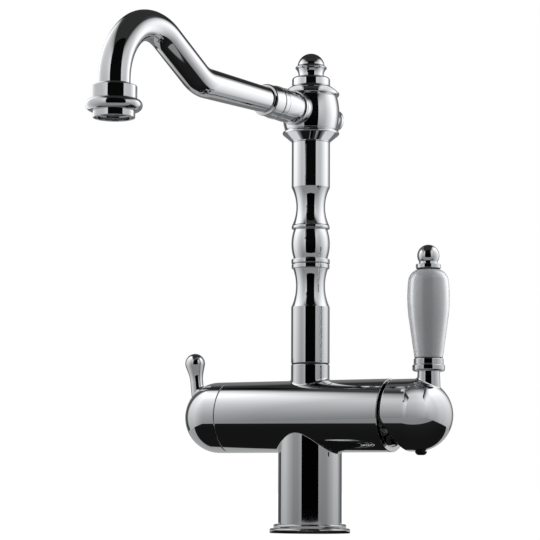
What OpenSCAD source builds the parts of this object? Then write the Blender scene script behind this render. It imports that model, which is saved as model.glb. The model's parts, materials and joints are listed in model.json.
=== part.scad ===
// Single-hole kitchen mixer tap with a swivelling swan spout, a porcelain mixer lever
// and a quarter-turn shut-off handle for an appliance.
// X runs along the cross barrel towards the porcelain lever, -Y is the front, +Z is up.
// The origin is the centre of the base ring on the sink top. Millimetres.

/* [Base] */
// Diameter of the lower step of the base ring
base_diameter = 58; // [54:1:70]
// Height of the lower step of the base ring
base_height = 3.3; // [2.5:0.1:6]
// Diameter of the upper step of the base ring
step_diameter = 52.4; // [50:0.2:54]
// Height of the upper step of the base ring
step_height = 3.1; // [2.4:0.1:6]
// Rounding of the two steps' edges
base_edge = 0.9; // [0.3:0.1:1.1]
// Outer diameter of the flat seal under the base ring
gasket_outer = 54; // [48:1:55]
// Inner diameter of the flat seal under the base ring
gasket_inner = 45; // [42:0.5:46]
// Thickness of the flat seal
gasket_thickness = 1.8; // [1:0.1:2]
// Diameter of the pillar's spigot inside the base ring
spigot_diameter = 40; // [38.5:0.5:41]
// Gap between the spigot's end and the sink top
spigot_lift = 0.5; // [0.2:0.1:1.5]

/* [Body] */
// Diameter of the pillar
pillar_diameter = 46; // [44:0.5:48]
// Height of the cross barrel's axis over the sink top
axis_height = 83.6; // [75:0.2:110]
// Diameter of the cross barrel
barrel_diameter = 52; // [50:0.5:56]
// Half of the cross barrel's length
barrel_half = 65.7; // [65:0.1:68]
// Chamfer on the ends of the barrel and of the boss
casting_chamfer = 0.5; // [0.2:0.1:0.8]
// Diameter of the riser boss and of the riser
riser_diameter = 28; // [27:0.2:29]
// Rise of the riser boss's top over the barrel's axis
boss_rise = 37.4; // [35.4:0.2:44]
// Radius of the tapped holes for the two supply hoses and the appliance hose
hose_hole_radius = 5; // [4:0.25:5.5]
// Depth of the tapped hose holes
hose_hole_depth = 12; // [8:1:20]
// Radius of the tapped hole for the fixing stud
stud_hole_radius = 4; // [3:0.5:5]
// Depth of the tapped hole for the fixing stud
stud_hole_depth = 16; // [10:1:24]
// Distance of the four holes from the pillar's axis
hole_circle_radius = 13.4; // [12.8:0.1:14]
// Radius of the drilled waterways
waterway_radius = 3.5; // [2.5:0.25:3.8]

/* [Swivel] */
// Inner diameter of the swivel sleeve
swivel_diameter = 22; // [21:0.2:22.8]
// Wall of the swivel sleeve
sleeve_wall = 1; // [0.6:0.1:1.2]
// Length of the swivel sleeve
sleeve_length = 25; // [21:0.5:27]
// Radial clearance of the spigot in the sleeve
swivel_clearance = 0.05; // [0.02:0.01:0.1]
// Thickness of the dark washer in the seam
seam_washer = 0.8; // [0.5:0.1:1.2]
// Depth that the seam washer lies inside the riser's outline
seam_inset = 0.6; // [0.3:0.1:1]
// Bore of the swivel spigot
spigot_bore = 14; // [11:0.5:14.5]
// Diameter of the threaded joints of the riser
riser_thread = 18; // [17:0.25:18.5]
// Length of the threaded joints of the riser
riser_thread_length = 7.5; // [5:0.5:9]
// Section radius of the O-rings on the spigot
o_ring_section = 1; // [0.8:0.05:1.1]
// Heights of the two O-rings under the boss's top
o_ring_depths = [13.5, 20]; // [9:0.5:21]
// Height of the keeper groove's middle under the boss's top
keeper_depth = 5.5; // [4.5:0.25:7]
// Depth of the keeper groove
keeper_groove = 1.6; // [1:0.1:2]
// Radius of the keeper screw's thread
keeper_radius = 2.5; // [2:0.25:3]
// Radius of the keeper screw's tip
keeper_tip = 1.5; // [1:0.1:1.8]
// Play between the keeper screw's tip and its groove
keeper_play = 0.35; // [0.3:0.05:0.6]

/* [Riser] */
// Bore of the riser
riser_bore = 16; // [12:0.5:16.5]
// Smallest diameter of the lower neck
lower_neck = 21.1; // [20.4:0.1:24]
// Drop of the lower neck's waist below the double ring
lower_neck_drop = 12.4; // [11.6:0.2:13.2]
// Radius of the lower neck's hollow
lower_neck_hollow = 37; // [34:1:40]
// Drop of the double ring's underside below the spout's height
double_ring_drop = 115.5; // [114.9:0.2:116.3]
// Height of each of the double ring's two rings
double_ring_height = 3.3; // [2.6:0.1:3.5]
// Depth of the grooves between the rings
ring_groove = 0.9; // [0.4:0.1:1.2]
// Height of the knop between the two risers
knop_height = 24.6; // [23:0.2:26]
// Radius of the knop's barrel curve
knop_curve = 33; // [28:1:45]
// Height of the thin ring on the knop
thin_ring = 2.9; // [2:0.1:3.4]
// Smallest diameter of the upper neck
upper_neck = 21; // [20.4:0.1:24]
// Rise of the upper neck's waist over the knop
upper_neck_rise = 13.4; // [12.4:0.2:14.2]
// Radius of the upper neck's hollow
upper_neck_hollow = 31; // [28:1:34]

/* [Hub] */
// Height of the spout's root axis
spout_height = 306.3; // [306:0.1:306.6]
// Largest diameter of the hub's barrel
hub_diameter = 41.7; // [40.6:0.1:42.4]
// Radius of the hub barrel's curve
hub_curve = 46; // [40:1:60]
// Diameter of the hub's two rims
rim_diameter = 41.6; // [40.6:0.1:43]
// Drop of the lower rim's widest line below the spout's root axis
lower_rim_drop = 15.7; // [15:0.1:16.4]
// Height of the cone between the riser and the lower rim's widest line
hub_cone = 7; // [6:0.2:9]
// Section radius of the rims
rim_edge = 1.3; // [0.8:0.1:1.5]
// Rise of the upper rim's widest line over the spout's root axis
upper_rim_rise = 13.3; // [12.8:0.1:14]
// Height of the hub's top over the upper rim's widest line
hub_dome = 6; // [5.4:0.1:6.8]
// Inner radius of the hub's water chamber
hub_chamber = 14; // [12:0.5:16]
// Radius of the boss that carries the spout's socket
hub_boss_radius = 12.2; // [12:0.1:12.5]
// Distance of that boss's face from the riser's axis
hub_boss_reach = 22; // [21:0.2:22.4]
// Radius of the threads of the socket and of the rear cap
socket_thread = 9.5; // [9.2:0.1:10]

/* [Finial] */
// Height of the finial's lower disc
finial_disc = 6.6; // [6:0.1:7]
// Rounding of the lower disc's top edge
finial_round = 2.2; // [1.5:0.1:2.6]
// Diameter of the finial's neck
finial_neck = 18.4; // [17:0.2:19]
// Height of the neck's foot over the hub's top
finial_neck_foot = 8; // [7.6:0.1:8.4]
// Diameter of the finial's flared ring
finial_flare = 23.3; // [21:0.2:25]
// Height of the flared ring over the hub's top
finial_flare_height = 13.8; // [13:0.1:14.4]
// Radius of the dome on top
finial_dome = 10; // [9.4:0.1:10.4]
// Height of the finial over the hub's top
finial_height = 24.6; // [23.4:0.1:25.2]
// Radius of the finial's threaded stub
finial_stub = 4; // [3:0.25:5]
// Length of the finial's threaded stub
finial_stub_length = 6.5; // [4:0.5:7]

/* [Rear cap] */
// Drop of the rear cap's axis below the spout's root axis
cap_drop = 1.5; // [0:0.1:2.4]
// Radius of the rear cap's neck
cap_neck_radius = 7.2; // [6.5:0.1:7.8]
// Distance of the cap's ring from the riser's axis
cap_ring_distance = 29.4; // [27:0.2:32]
// Radius of the cap's ring
cap_ring_radius = 8.4; // [8.1:0.1:10]
// Width of the cap's ring
cap_ring_width = 3.2; // [2:0.1:4]
// Length of the cap's dome behind its ring
cap_dome = 6.2; // [4:0.2:8]
// Radius of the cap's sealing flange at the hub
cap_flange = 10.4; // [10:0.1:11]
// Thickness of the washer under the cap
cap_washer = 0.8; // [0.5:0.1:1]
// Distance of the flat that carries the washer from the riser's axis
cap_seat = 20; // [19.4:0.1:20.4]

/* [Spout] */
// Turn of the spout to the left of straight ahead, as photographed
spout_swing = 5; // [0:1:30]
// Radius of the socket's flange
flange_radius = 12.6; // [12.3:0.1:13.2]
// Width of the socket's flange
flange_width = 2.6; // [2:0.1:3]
// Radius of the sleeve between flange and collar
sleeve_radius = 11.5; // [11:0.1:11.8]
// Radius of the sleeve's swell
sleeve_swell = 12; // [11.9:0.1:12.2]
// Distance of the collar's inner face from the riser's axis
collar_start = 44; // [42:0.2:46]
// Radius of the collar
collar_radius = 11.8; // [11.2:0.1:12.2]
// Width of the collar's flat band
collar_band = 12.6; // [11:0.2:14]
// Width of the collar's bead
collar_bead = 4.4; // [3.6:0.1:5]
// Radius of the tube inside its socket
tube_root_radius = 9; // [8.8:0.1:9.1]
// Radius of the tube at the collar
tube_start_radius = 9.2; // [9.1:0.1:9.6]
// Radius of the tube's arch and drop
tube_radius = 10.35; // [10:0.05:10.8]
// Bore radius of the tube
tube_bore = 7.8; // [6:0.1:8]
// Distance at which the tube starts to rise
rise_start = 130.9; // [125:0.5:140]
// Bend radius of the rising bend
rise_radius = 26.5; // [22:0.5:32]
// Angle of the rising run
rise_angle = 30.8; // [26:0.2:34]
// Length of the rising run
rise_length = 37.7; // [30:0.5:46]
// Bend radius of the crown of the arch
crown_radius = 33.5; // [30:0.5:38]
// Turn of the crown of the arch
crown_turn = 73.1; // [68:0.5:78]
// Bend radius of the arch's front
front_radius = 43.8; // [38:0.5:48]
// Length of the tube's end inside the outlet collar
tube_seat = 7; // [5:0.5:8]

/* [Outlet] */
// Length of the tube's straight drop
drop_length = 11.41; // [10:0.1:14]
// Radius of the outlet collar's cylinder
outlet_radius = 14.75; // [14.2:0.05:15.4]
// Height of the outlet collar's cylinder
outlet_band = 8.8; // [8:0.1:9.6]
// Section radius of the bead
bead_section = 3.9; // [3.5:0.1:4]
// Largest radius of the bead
bead_radius = 18.3; // [17.4:0.1:19]
// Height of the bead
bead_height = 7.9; // [7.8:0.1:8.6]
// Radius of the aerator's thread
aerator_thread = 12; // [11.4:0.1:12.4]
// Radius of the lip round the outlet
lip_radius = 13.6; // [13:0.1:14]
// Height of the lip below the bead
lip_height = 4.3; // [3.8:0.1:5]
// Radius of the outlet's mouth
mouth_radius = 12.4; // [11:0.1:12.6]
// Radius of the aerator's insert
insert_radius = 10.4; // [9:0.1:10.6]
// Thickness of the aerator's insert
insert_thickness = 6; // [4:0.2:6.2]
// Radius of the insert's holes
insert_hole = 0.95; // [0.5:0.05:1.1]
// Spacing of the insert's holes
insert_pitch = 2.7; // [2.5:0.1:4]
// Thickness of the aerator's screen
screen_thickness = 0.6; // [0.4:0.1:0.8]
// Width of the aerator washer
washer_width = 3; // [2:0.1:3.4]

/* [Mixer handle] */
// Depth of the handle's tilt axis inside the barrel's end
pivot_depth = 9.7; // [8.7:0.1:10.2]
// Gap between the barrel's end and the handle's rim
rim_gap = 2.4; // [1.9:0.1:4.3]
// Outer radius of the mixer handle's dome
dome_radius = 25.6; // [25:0.1:26.4]
// Distance of the dome's centre from the barrel's end
dome_reach = 19.2; // [16.4:0.2:22.4]
// Wall of the two handle domes
dome_wall = 3; // [2:0.1:4]
// Angle of the rim's slanted cut
rim_cut_angle = 24.8; // [23:0.2:30]
// Drop of the slanted cut's start below the barrel's axis
rim_cut_drop = 2; // [1:0.2:4]
// Radius of the dome's inner hub
dome_hub_radius = 9.5; // [8:0.1:10]
// Distance of the dome's inner hub from the barrel's end
dome_hub_reach = 6.3; // [5.3:0.2:7.3]
// Width of the spindle's square
spindle_square = 8.8; // [7:0.1:9.4]
// Clearance round the spindle's square
square_clearance = 0.1; // [0.05:0.05:0.2]
// Distance of the spindle's end from the barrel's end
spindle_reach = 28.3; // [26.3:0.5:30.3]
// Distance of the handle's clamp screw from the barrel's end
clamp_reach = 22.4; // [20.3:0.1:23.3]
// Radius of the clamp screw
clamp_radius = 3; // [2.5:0.25:3]
// Length of the clamp screw
clamp_length = 9; // [6:0.5:12]
// Depth of the flat under the plug, below the dome's round
plug_seat = 0.2; // [0.1:0.1:0.6]
// Radius of the plug's head
plug_radius = 4.2; // [4:0.1:5]
// Height of the plug's head
plug_height = 2.8; // [1.5:0.1:3.2]
// Radius of the plug's shank
plug_shank = 3.3; // [3.1:0.1:3.8]
// Length of the plug's shank
plug_shank_length = 3.6; // [2:0.1:5]

/* [Porcelain lever] */
// Distance of the lever's axis from the barrel's end
lever_reach = 28.5; // [27.3:0.2:30.3]
// Height of the stem's foot over the barrel's axis
stem_foot = 19; // [18:0.5:20]
// Radius of the stem at its foot
stem_foot_radius = 8.25; // [8:0.05:8.6]
// Radius of the stem at its top
stem_top_radius = 7.85; // [7.4:0.05:8]
// Height of the stem's top over the barrel's axis
stem_top = 30.4; // [29:0.2:33]
// Radius of the stem's threaded stub
stem_stub_radius = 5; // [4:0.25:5.5]
// Length of the stem's threaded stub
stem_stub_length = 9; // [6:0.5:10]
// Radius of the bead under the grip
lever_bead_radius = 11.5; // [11:0.05:12.4]
// Height of the bead under the grip
lever_bead_height = 4.6; // [4:0.1:5.6]
// Radius of the collar under the grip
lever_collar_radius = 10.5; // [10.2:0.05:11]
// Height of the collar under the grip
lever_collar_height = 4.6; // [3:0.1:6]
// Thickness of the washers at the grip's ends
grip_washer = 0.4; // [0.3:0.1:0.8]
// Length of the porcelain grip
grip_length = 62.7; // [58:0.5:70]
// Radius of the grip's foot
grip_foot_radius = 10; // [9.6:0.05:10.5]
// Largest radius of the grip
grip_radius = 14.93; // [14:0.05:16]
// Distance of the grip's widest line below its top
grip_belly = 20.3; // [18:0.2:23]
// Radius of the grip's belly curve
grip_belly_curve = 110; // [90:2:140]
// Radius of the grip's shoulder
grip_shoulder = 9; // [8:0.25:10]
// Radius of the bore through the grip
grip_bore = 3.6; // [3.2:0.1:5]
// Radius of the threaded rod through the grip
rod_radius = 3; // [2.5:0.25:3.1]
// Radius of the flat ring under the ball
ball_ring_radius = 8.9; // [8:0.1:10]
// Height of the flat ring under the ball
ball_ring_height = 2.9; // [1.6:0.1:3]
// Radius of the neck under the ball
ball_neck_radius = 6.3; // [5:0.1:7]
// Radius of the ball
ball_radius = 7.85; // [7:0.05:8.6]
// Height of the ball's centre over the flat ring's underside
ball_height = 9.1; // [8.6:0.1:10]

/* [Cartridge] */
// Depth of the cartridge chamber's floor inside the barrel's end
chamber_depth = 43.7; // [42.7:0.5:45.7]
// Radius of the cartridge and of its chamber
cartridge_radius = 20.1; // [19.5:0.1:20.6]
// Radius of the cartridge nut
nut_radius = 21; // [20.8:0.1:21.6]
// Depth of the nut's thread inside the barrel's end
nut_depth = 13.7; // [13.3:0.1:14.3]
// Length of the cartridge nut
nut_length = 8; // [6:0.2:8.4]
// Radius of the barrel's mouth
mouth_bore = 22.4; // [22:0.1:23]
// Depth of the barrel's mouth
mouth_depth = 4.5; // [3:0.1:5]
// Thickness of the cartridge's base
base_plate = 6; // [5:0.2:6.6]
// Height of the rim on the cartridge's base
base_rim = 2; // [1:0.1:3]
// Radius of the fixed ceramic disc
fixed_disc_radius = 15; // [14.5:0.1:15.5]
// Thickness of the ceramic discs
disc_thickness = 4; // [3:0.1:4.2]
// Radius of the moving ceramic disc
moving_disc_radius = 11; // [10:0.1:11.2]
// Running gap between the ceramic discs
disc_gap = 0.05; // [0.02:0.01:0.1]
// Distance of the ports from the cartridge's axis
port_circle = 9.2; // [8.8:0.1:9.4]
// Radius of the ports
port_radius = 3; // [2:0.1:3.2]
// Wall of the cartridge's housing
housing_wall = 2.6; // [2:0.1:3]
// Radius of the rotor's neck
rotor_neck = 12.5; // [11.5:0.1:12.7]
// Running clearance of the rotor in its housing
rotor_clearance = 0.05; // [0.02:0.01:0.1]
// Length of the rotor's flange
rotor_flange = 5; // [4:0.1:5.4]
// Arm from the tilt axis to the ball of the spindle
spindle_arm = 16; // [15:0.1:16.4]
// Radius of the spindle's ball
spindle_ball = 3.6; // [3.2:0.05:3.7]
// Play of the ball in the disc carrier
ball_play = 0.35; // [0.3:0.05:0.5]
// Radius of the spindle's arm
arm_radius = 2.5; // [2:0.1:2.6]
// Radius of the spindle's eye
eye_radius = 5.5; // [5:0.1:6]
// Radius of the pivot pin
pin_radius = 1.5; // [1:0.1:2]
// Half of the pivot pin's length
pin_half = 11; // [9:0.5:12]
// Play beside the spindle in the rotor's slot
slot_play = 0.35; // [0.3:0.05:0.6]
// Half length of the rotor's slot
slot_half = 9.4; // [9:0.1:10]

/* [Shut-off valve] */
// Radius of the shut-off chamber
valve_radius = 10.5; // [10:0.1:11]
// Depth of the shut-off seat inside the barrel's end
valve_depth = 35.7; // [33.7:0.5:37.7]
// Radius of the shut-off seat's port
seat_radius = 5; // [4:0.1:5.4]
// Radius of the headwork's slim end
headwork_slim = 9.2; // [8.8:0.1:9.6]
// Depth of the headwork's thread inside the barrel's end
thread_depth = 19.7; // [17.7:0.5:21.7]
// Depth of the headwork's hexagon inside the barrel's end
hexagon_depth = 7.7; // [6.7:0.5:9.7]
// Length of the headwork's hexagon
hexagon_length = 5; // [4:0.5:6]
// Distance of the headwork's nose from the barrel's end
nose_reach = 3.3; // [0.3:0.5:4.3]
// Radius of the headwork's nose
nose_radius = 7.6; // [6.5:0.1:8]
// Radius of the shut-off discs
valve_disc_radius = 7; // [6.4:0.1:7.3]
// Thickness of the shut-off discs
valve_disc_thickness = 3; // [2:0.1:3.2]
// Thickness of the shut-off seal
valve_seal_thickness = 2; // [1:0.1:2.4]
// Radius of the shut-off spindle
valve_spindle_radius = 4; // [3:0.1:4.6]
// Length of the shut-off spindle's foot
valve_foot = 4; // [3:0.2:5]

/* [Shut-off handle] */
// Gap between the barrel and the shut-off handle
shutoff_gap = 0.35; // [0.3:0.05:0.8]
// Distance of the shut-off dome's centre from the barrel's end
shutoff_reach = 9.6; // [7.4:0.2:12.4]
// Radius of the shut-off dome's inner hub
shutoff_hub_radius = 8.5; // [7:0.1:9]
// Distance of the shut-off dome's inner hub from the barrel's end
shutoff_hub_reach = 5.3; // [4.7:0.2:6.3]
// Width of the shut-off spindle's square
shutoff_square = 6.6; // [5:0.1:7]
// Distance of the shut-off spindle's end from the barrel's end
shutoff_spindle_reach = 20.3; // [18.3:0.5:22.3]
// Distance of the shut-off handle's screw from the barrel's end
shutoff_screw_reach = 14.3; // [12.3:0.5:16.3]
// Radius of the shut-off handle's screw
shutoff_screw_radius = 2.5; // [2:0.25:3]
// Length of the shut-off handle's screw
shutoff_screw_length = 9; // [6:0.5:12]
// Distance of the peg's axis from the barrel's end, at its axis height
peg_reach = 27.5; // [25.3:0.2:29.3]
// Lean of the peg away from the pillar
peg_lean = 5.9; // [0:0.1:8]
// Height of the peg's foot over the barrel's axis, along the peg
peg_foot = 9; // [8:0.5:10]
// Radius of the peg's shaft
peg_radius = 4.75; // [4.2:0.05:5.2]
// Height of the taper's foot over the barrel's axis, along the peg
peg_taper_foot = 29.6; // [27:0.2:31]
// Radius of the peg's bulb
bulb_radius = 7.5; // [6.8:0.05:8]
// Height of the bulb's centre over the barrel's axis, along the peg
bulb_height = 40.9; // [39:0.2:43]
// Radius of the peg's threaded stub
peg_stub_radius = 3; // [2:0.25:3.5]
// Length of the peg's threaded stub
peg_stub_length = 6; // [4:0.5:7]

/* [Hidden] */
$fn = 96;

// Colours as the photograph shows them, and plain ones for what it hides
chrome = [0.80, 0.81, 0.83];
porcelain = [0.95, 0.94, 0.92];
brass = [0.80, 0.66, 0.36];
steel = [0.62, 0.63, 0.65];
rubber = [0.10, 0.10, 0.11];
white_plastic = [0.90, 0.90, 0.88];
grey_plastic = [0.45, 0.46, 0.48];
ceramic = [0.86, 0.84, 0.78];

// Small allowance that carries a cut past the face that it opens
cut = 1;
// Steps of the circles that give long shallow curves
fine_steps = 360;
// Bends are this much fatter than straight runs, which reach into them by the overlap
bend_skin = 0.03;
bend_overlap = 0.2;

base_top = base_height + step_height;
boss_top = axis_height + boss_rise;
sleeve_bottom = boss_top - sleeve_length;
double_ring_gap = 0.5;
double_ring_bottom = spout_height - double_ring_drop;
knop_bottom = double_ring_bottom + 2 * double_ring_height + double_ring_gap + 0.3;
knop_top = knop_bottom + knop_height;
lower_neck_height = double_ring_bottom - lower_neck_drop;
upper_neck_height = knop_top + upper_neck_rise;
lower_rim_height = spout_height - lower_rim_drop;
upper_rim_height = spout_height + upper_rim_rise;
riser_top = lower_rim_height - hub_cone;
hub_top = upper_rim_height + hub_dome;
cap_height = spout_height - cap_drop;
riser_r = riser_diameter / 2;
barrel_r = barrel_diameter / 2;
swivel_r = swivel_diameter / 2;
sleeve_r = swivel_r + sleeve_wall;
spigot_r = swivel_r - swivel_clearance;
thread_r = riser_thread / 2;
riser_foot = boss_top + seam_washer + swivel_clearance;
well_bottom = axis_height + 2.5;

// The passages inside the casting lie around the tapped holes' square
hole_offset = hole_circle_radius * cos(45);
inlet_port_drop = port_circle * cos(60);
outlet_port_rise = port_circle;

// Spout curve in its own upright plane: distance from the riser, height over the root axis, slope
function ahead(p, l) = [p[0] + l * cos(p[2]), p[1] + l * sin(p[2]), p[2]];
function bend_centre(p, r) = [p[0] - r * sin(p[2]), p[1] + r * cos(p[2])];
function after_bend(p, r, a) =
    let (c = bend_centre(p, r), t = p[2] + a) [c[0] + r * sin(t), c[1] - r * cos(t), t];
collar_end = collar_start + collar_band + collar_bead;
tube_root = hub_boss_reach + flange_width + 5.4;
at_rise = [rise_start, 0, 0];
at_run = after_bend(at_rise, rise_radius, rise_angle);
at_crown = ahead(at_run, rise_length);
front_turn = 90 + rise_angle - crown_turn;
at_middle = after_bend(at_crown, -crown_radius, -crown_turn);
at_front_gap = 4 * bend_overlap;
at_front = ahead(at_middle, at_front_gap);
at_drop = after_bend(at_front, -front_radius, -front_turn);
reach = at_drop[0];
tube_end = spout_height + at_drop[1] - drop_length;
outlet_top = tube_end + tube_seat;
bead_top = outlet_top - outlet_band;
collar_face = bead_top - bead_height;
outlet_height = collar_face - lip_height;

// Places along the barrel on the mixer side, from the pillar's axis
chamber_floor = barrel_half - chamber_depth;
nut_start = barrel_half - nut_depth;
pivot_distance = barrel_half - pivot_depth;
rim_distance = barrel_half + rim_gap;
dome_hub_start = barrel_half + dome_hub_reach;
dome_distance = barrel_half + dome_reach;
clamp_distance = barrel_half + clamp_reach;
spindle_end = barrel_half + spindle_reach;
lever_distance = barrel_half + lever_reach;

// The same on the shut-off side
valve_seat = barrel_half - valve_depth;
headwork_thread = barrel_half - thread_depth;
hexagon_start = barrel_half - hexagon_depth;
headwork_nose = barrel_half + nose_reach;
shutoff_hub_start = barrel_half + shutoff_hub_reach;
shutoff_distance = barrel_half + shutoff_reach;
shutoff_screw_distance = barrel_half + shutoff_screw_reach;
shutoff_spindle_end = barrel_half + shutoff_spindle_reach;
peg_distance = barrel_half + peg_reach;

// Mixer cartridge, measured along the barrel
fixed_disc_start = chamber_floor + base_plate;
moving_disc_start = fixed_disc_start + disc_thickness + disc_gap;
carrier_start = moving_disc_start + disc_thickness;
ball_distance = pivot_distance - spindle_arm;
rotor_roof = nut_start - housing_wall;
rotor_start = rotor_roof - rotor_clearance - rotor_flange;
carrier_end = rotor_start - slot_play;
rotor_end = nut_start + nut_length;

// Porcelain lever, heights over the barrel's axis
bead_bottom = stem_top;
grip_bottom = stem_top + lever_bead_height + lever_collar_height + grip_washer;
grip_top = grip_bottom + grip_length;
ball_ring_bottom = grip_top + grip_washer;
ball_centre = ball_ring_bottom + ball_height;
rod_bottom = stem_foot - stem_stub_length + 2;
rod_top = ball_centre;

// Shut-off valve, measured along the barrel away from the pillar
valve_disc_start = valve_seat + valve_seal_thickness;
valve_turn_start = valve_disc_start + valve_disc_thickness + disc_gap;
valve_foot_start = valve_turn_start + valve_disc_thickness;
valve_cavity_end = valve_foot_start + valve_foot + disc_gap;
cavity_radius = valve_disc_radius + 0.4;

// A disc or ring turned about Z, with its outer edges rounded
module rounded_ring(outer, bottom, height, edge, inner = 0) {
    rotate_extrude() {
        translate([inner, bottom + edge]) square([outer - inner, height - 2 * edge]);
        translate([inner, bottom]) square([outer - inner - edge, height]);
        translate([outer - edge, bottom + edge]) circle(edge);
        translate([outer - edge, bottom + height - edge]) circle(edge);
    }
}

// A turned solid from [radius, height] corners
module turned(corners) {
    rotate_extrude() polygon(corners);
}

// A ring's flat section from inner to outer radius
module flat_ring(outer, inner, height) {
    difference() {
        cylinder(r = outer, h = height);
        translate([0, 0, -cut]) cylinder(r = inner, h = height + 2 * cut);
    }
}

// A torus of the given section
module o_ring(middle, section) {
    rotate_extrude() translate([middle, 0]) circle(section);
}

// Local Z runs along the barrel, away from the pillar, on the mixer side
module on_mixer_side(distance) {
    translate([distance, 0, axis_height]) rotate([0, 90, 0]) children();
}

// Local Z runs along the barrel, away from the pillar, on the shut-off side
module on_shutoff_side(distance) {
    translate([-distance, 0, axis_height]) rotate([0, -90, 0]) children();
}

// Local Z runs straight up from the mixer handle at the lever
module at_lever(height) {
    translate([lever_distance, 0, axis_height + height]) children();
}

// Local Z runs up the peg, which leans away from the pillar
module at_peg(height) {
    translate([-peg_distance, 0, axis_height]) rotate([0, -peg_lean, 0])
        translate([0, 0, height]) children();
}

// Everything that swivels with the spout is turned with it
module swung() {
    rotate([0, 0, -spout_swing]) children();
}

// Local Z runs forward along the spout's root axis
module along_spout(distance) {
    swung() translate([0, -distance, spout_height]) rotate([90, 0, 0]) children();
}

// Local X runs forward and local Y up in the spout's plane
module in_spout_plane() {
    swung() translate([0, 0, spout_height]) rotate([90, 0, -90]) children();
}

// Local Z runs up through the outlet
module at_outlet(height) {
    swung() translate([0, -reach, height]) children();
}

// A straight run of round bar in the spout's plane
module run(p, length, r1, r2) {
    translate([p[0], p[1], 0]) rotate([0, 90, p[2]]) cylinder(r1 = r1, r2 = r2, h = length);
}

// A straight run that reaches into the bends at its two ends
module joined_run(p, length, r) {
    run(ahead(p, -bend_overlap), length + 2 * bend_overlap, r, r);
}

// A bend of round bar in the spout's plane, upwards for a positive turn
module bend(p, radius, turn, r) {
    side = sign(turn);
    c = bend_centre(p, side * radius);
    first = turn > 0 ? p[2] - 90 : p[2] + 90 + turn;
    translate([c[0], c[1], 0]) rotate([0, 0, first])
        rotate_extrude(angle = abs(turn)) translate([radius, 0]) circle(r + bend_skin);
}

// Base

module base_ring() {
    color(chrome) difference() {
        union() {
            rounded_ring(base_diameter / 2, 0, base_height, base_edge);
            cylinder(r = base_diameter / 2 - base_edge, h = base_height);
            rounded_ring(step_diameter / 2, base_height - base_edge, step_height + base_edge,
                base_edge);
        }
        translate([0, 0, -cut]) cylinder(r = spigot_diameter / 2, h = base_top + 2 * cut);
        translate([0, 0, -cut]) flat_ring(gasket_outer / 2, gasket_inner / 2,
            gasket_thickness + cut);
    }
}

module base_gasket() {
    color(rubber) flat_ring(gasket_outer / 2, gasket_inner / 2, gasket_thickness);
}

// Body

// A drilled passage along the barrel between two distances
module passage_along(from, to, y, rise, r) {
    translate([from, y, axis_height + rise]) rotate([0, 90, 0]) cylinder(r = r, h = to - from);
}

module casting_outside() {
    translate([0, 0, base_top]) cylinder(r = pillar_diameter / 2, h = axis_height - base_top);
    translate([0, 0, spigot_lift]) cylinder(r = spigot_diameter / 2, h = base_top);
    on_mixer_side(-barrel_half) turned([[0, 0], [barrel_r - casting_chamfer, 0],
        [barrel_r, casting_chamfer], [barrel_r, 2 * barrel_half - casting_chamfer],
        [barrel_r - casting_chamfer, 2 * barrel_half], [0, 2 * barrel_half]]);
    turned([[0, axis_height], [riser_r, axis_height], [riser_r, boss_top - casting_chamfer],
        [riser_r - casting_chamfer, boss_top], [0, boss_top]]);
}

module tapped_holes() {
    translate([0, 0, spigot_lift - cut]) {
        for (side = [-1, 1])
            translate([hole_offset, side * hole_offset, 0])
                cylinder(r = hose_hole_radius, h = hose_hole_depth + cut);
        translate([-hole_offset, hole_offset, 0])
            cylinder(r = hose_hole_radius, h = hose_hole_depth + cut);
        translate([-hole_offset, -hole_offset, 0])
            cylinder(r = stud_hole_radius, h = stud_hole_depth + cut);
    }
}

module waterways() {
    bend_height = axis_height - inlet_port_drop;
    for (side = [-1, 1]) {
        translate([hole_offset, side * hole_offset, spigot_lift])
            cylinder(r = waterway_radius, h = bend_height + waterway_radius - spigot_lift);
        passage_along(hole_offset, chamber_floor + cut, side * port_circle * sin(60),
            -inlet_port_drop, port_radius);
    }
    translate([-hole_offset, hole_offset, spigot_lift])
        cylinder(r = waterway_radius, h = bend_height + port_radius - spigot_lift);
    passage_along(-valve_foot_start - valve_foot, -hole_offset, hole_offset, -inlet_port_drop,
        port_radius);
    passage_along(-seat_drilling - port_radius - 0.2, hole_offset, -port_circle * sin(60),
        -inlet_port_drop, port_radius);
    passage_along(-valve_seat - cut, -seat_drilling + port_radius, 0, 0, seat_radius);
    translate([-seat_drilling, -port_circle * sin(60), axis_height - inlet_port_drop])
        rotate([-90 + seat_slope, 0, 0]) cylinder(r = port_radius - 0.4, h = port_circle);
    passage_along(0, chamber_floor + cut, 0, outlet_port_rise, port_radius);
}
seat_drilling = valve_seat - 5;
seat_slope = atan(inlet_port_drop / (port_circle * sin(60)));

module body_casting() {
    color(chrome) difference() {
        casting_outside();
        tapped_holes();
        waterways();
        translate([0, 0, sleeve_bottom]) cylinder(r = sleeve_r, h = boss_top - sleeve_bottom + cut);
        translate([0, 0, well_bottom]) cylinder(r = thread_r, h = sleeve_bottom - well_bottom + cut);
        on_mixer_side(chamber_floor) cylinder(r = cartridge_radius, h = nut_start - chamber_floor);
        on_mixer_side(nut_start - cut / 2) cylinder(r = nut_radius, h = barrel_half - nut_start);
        on_mixer_side(barrel_half - mouth_depth) cylinder(r = mouth_bore, h = mouth_depth + cut);
        on_shutoff_side(valve_seat) cylinder(r = valve_radius, h = barrel_half);
        on_shutoff_side(hexagon_start) cylinder(r = mouth_bore - 5, h = barrel_half);
        translate([0, 0, boss_top - keeper_depth]) rotate([-90, 0, 0])
            cylinder(r = keeper_radius, h = riser_r + cut);
    }
}

// Swivel

module swivel_sleeve() {
    color(white_plastic) difference() {
        translate([0, 0, sleeve_bottom]) flat_ring(sleeve_r, swivel_r, boss_top - sleeve_bottom);
        translate([0, 0, boss_top - keeper_depth]) rotate([-90, 0, 0])
            cylinder(r = keeper_radius, h = riser_r + cut);
    }
}

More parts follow.
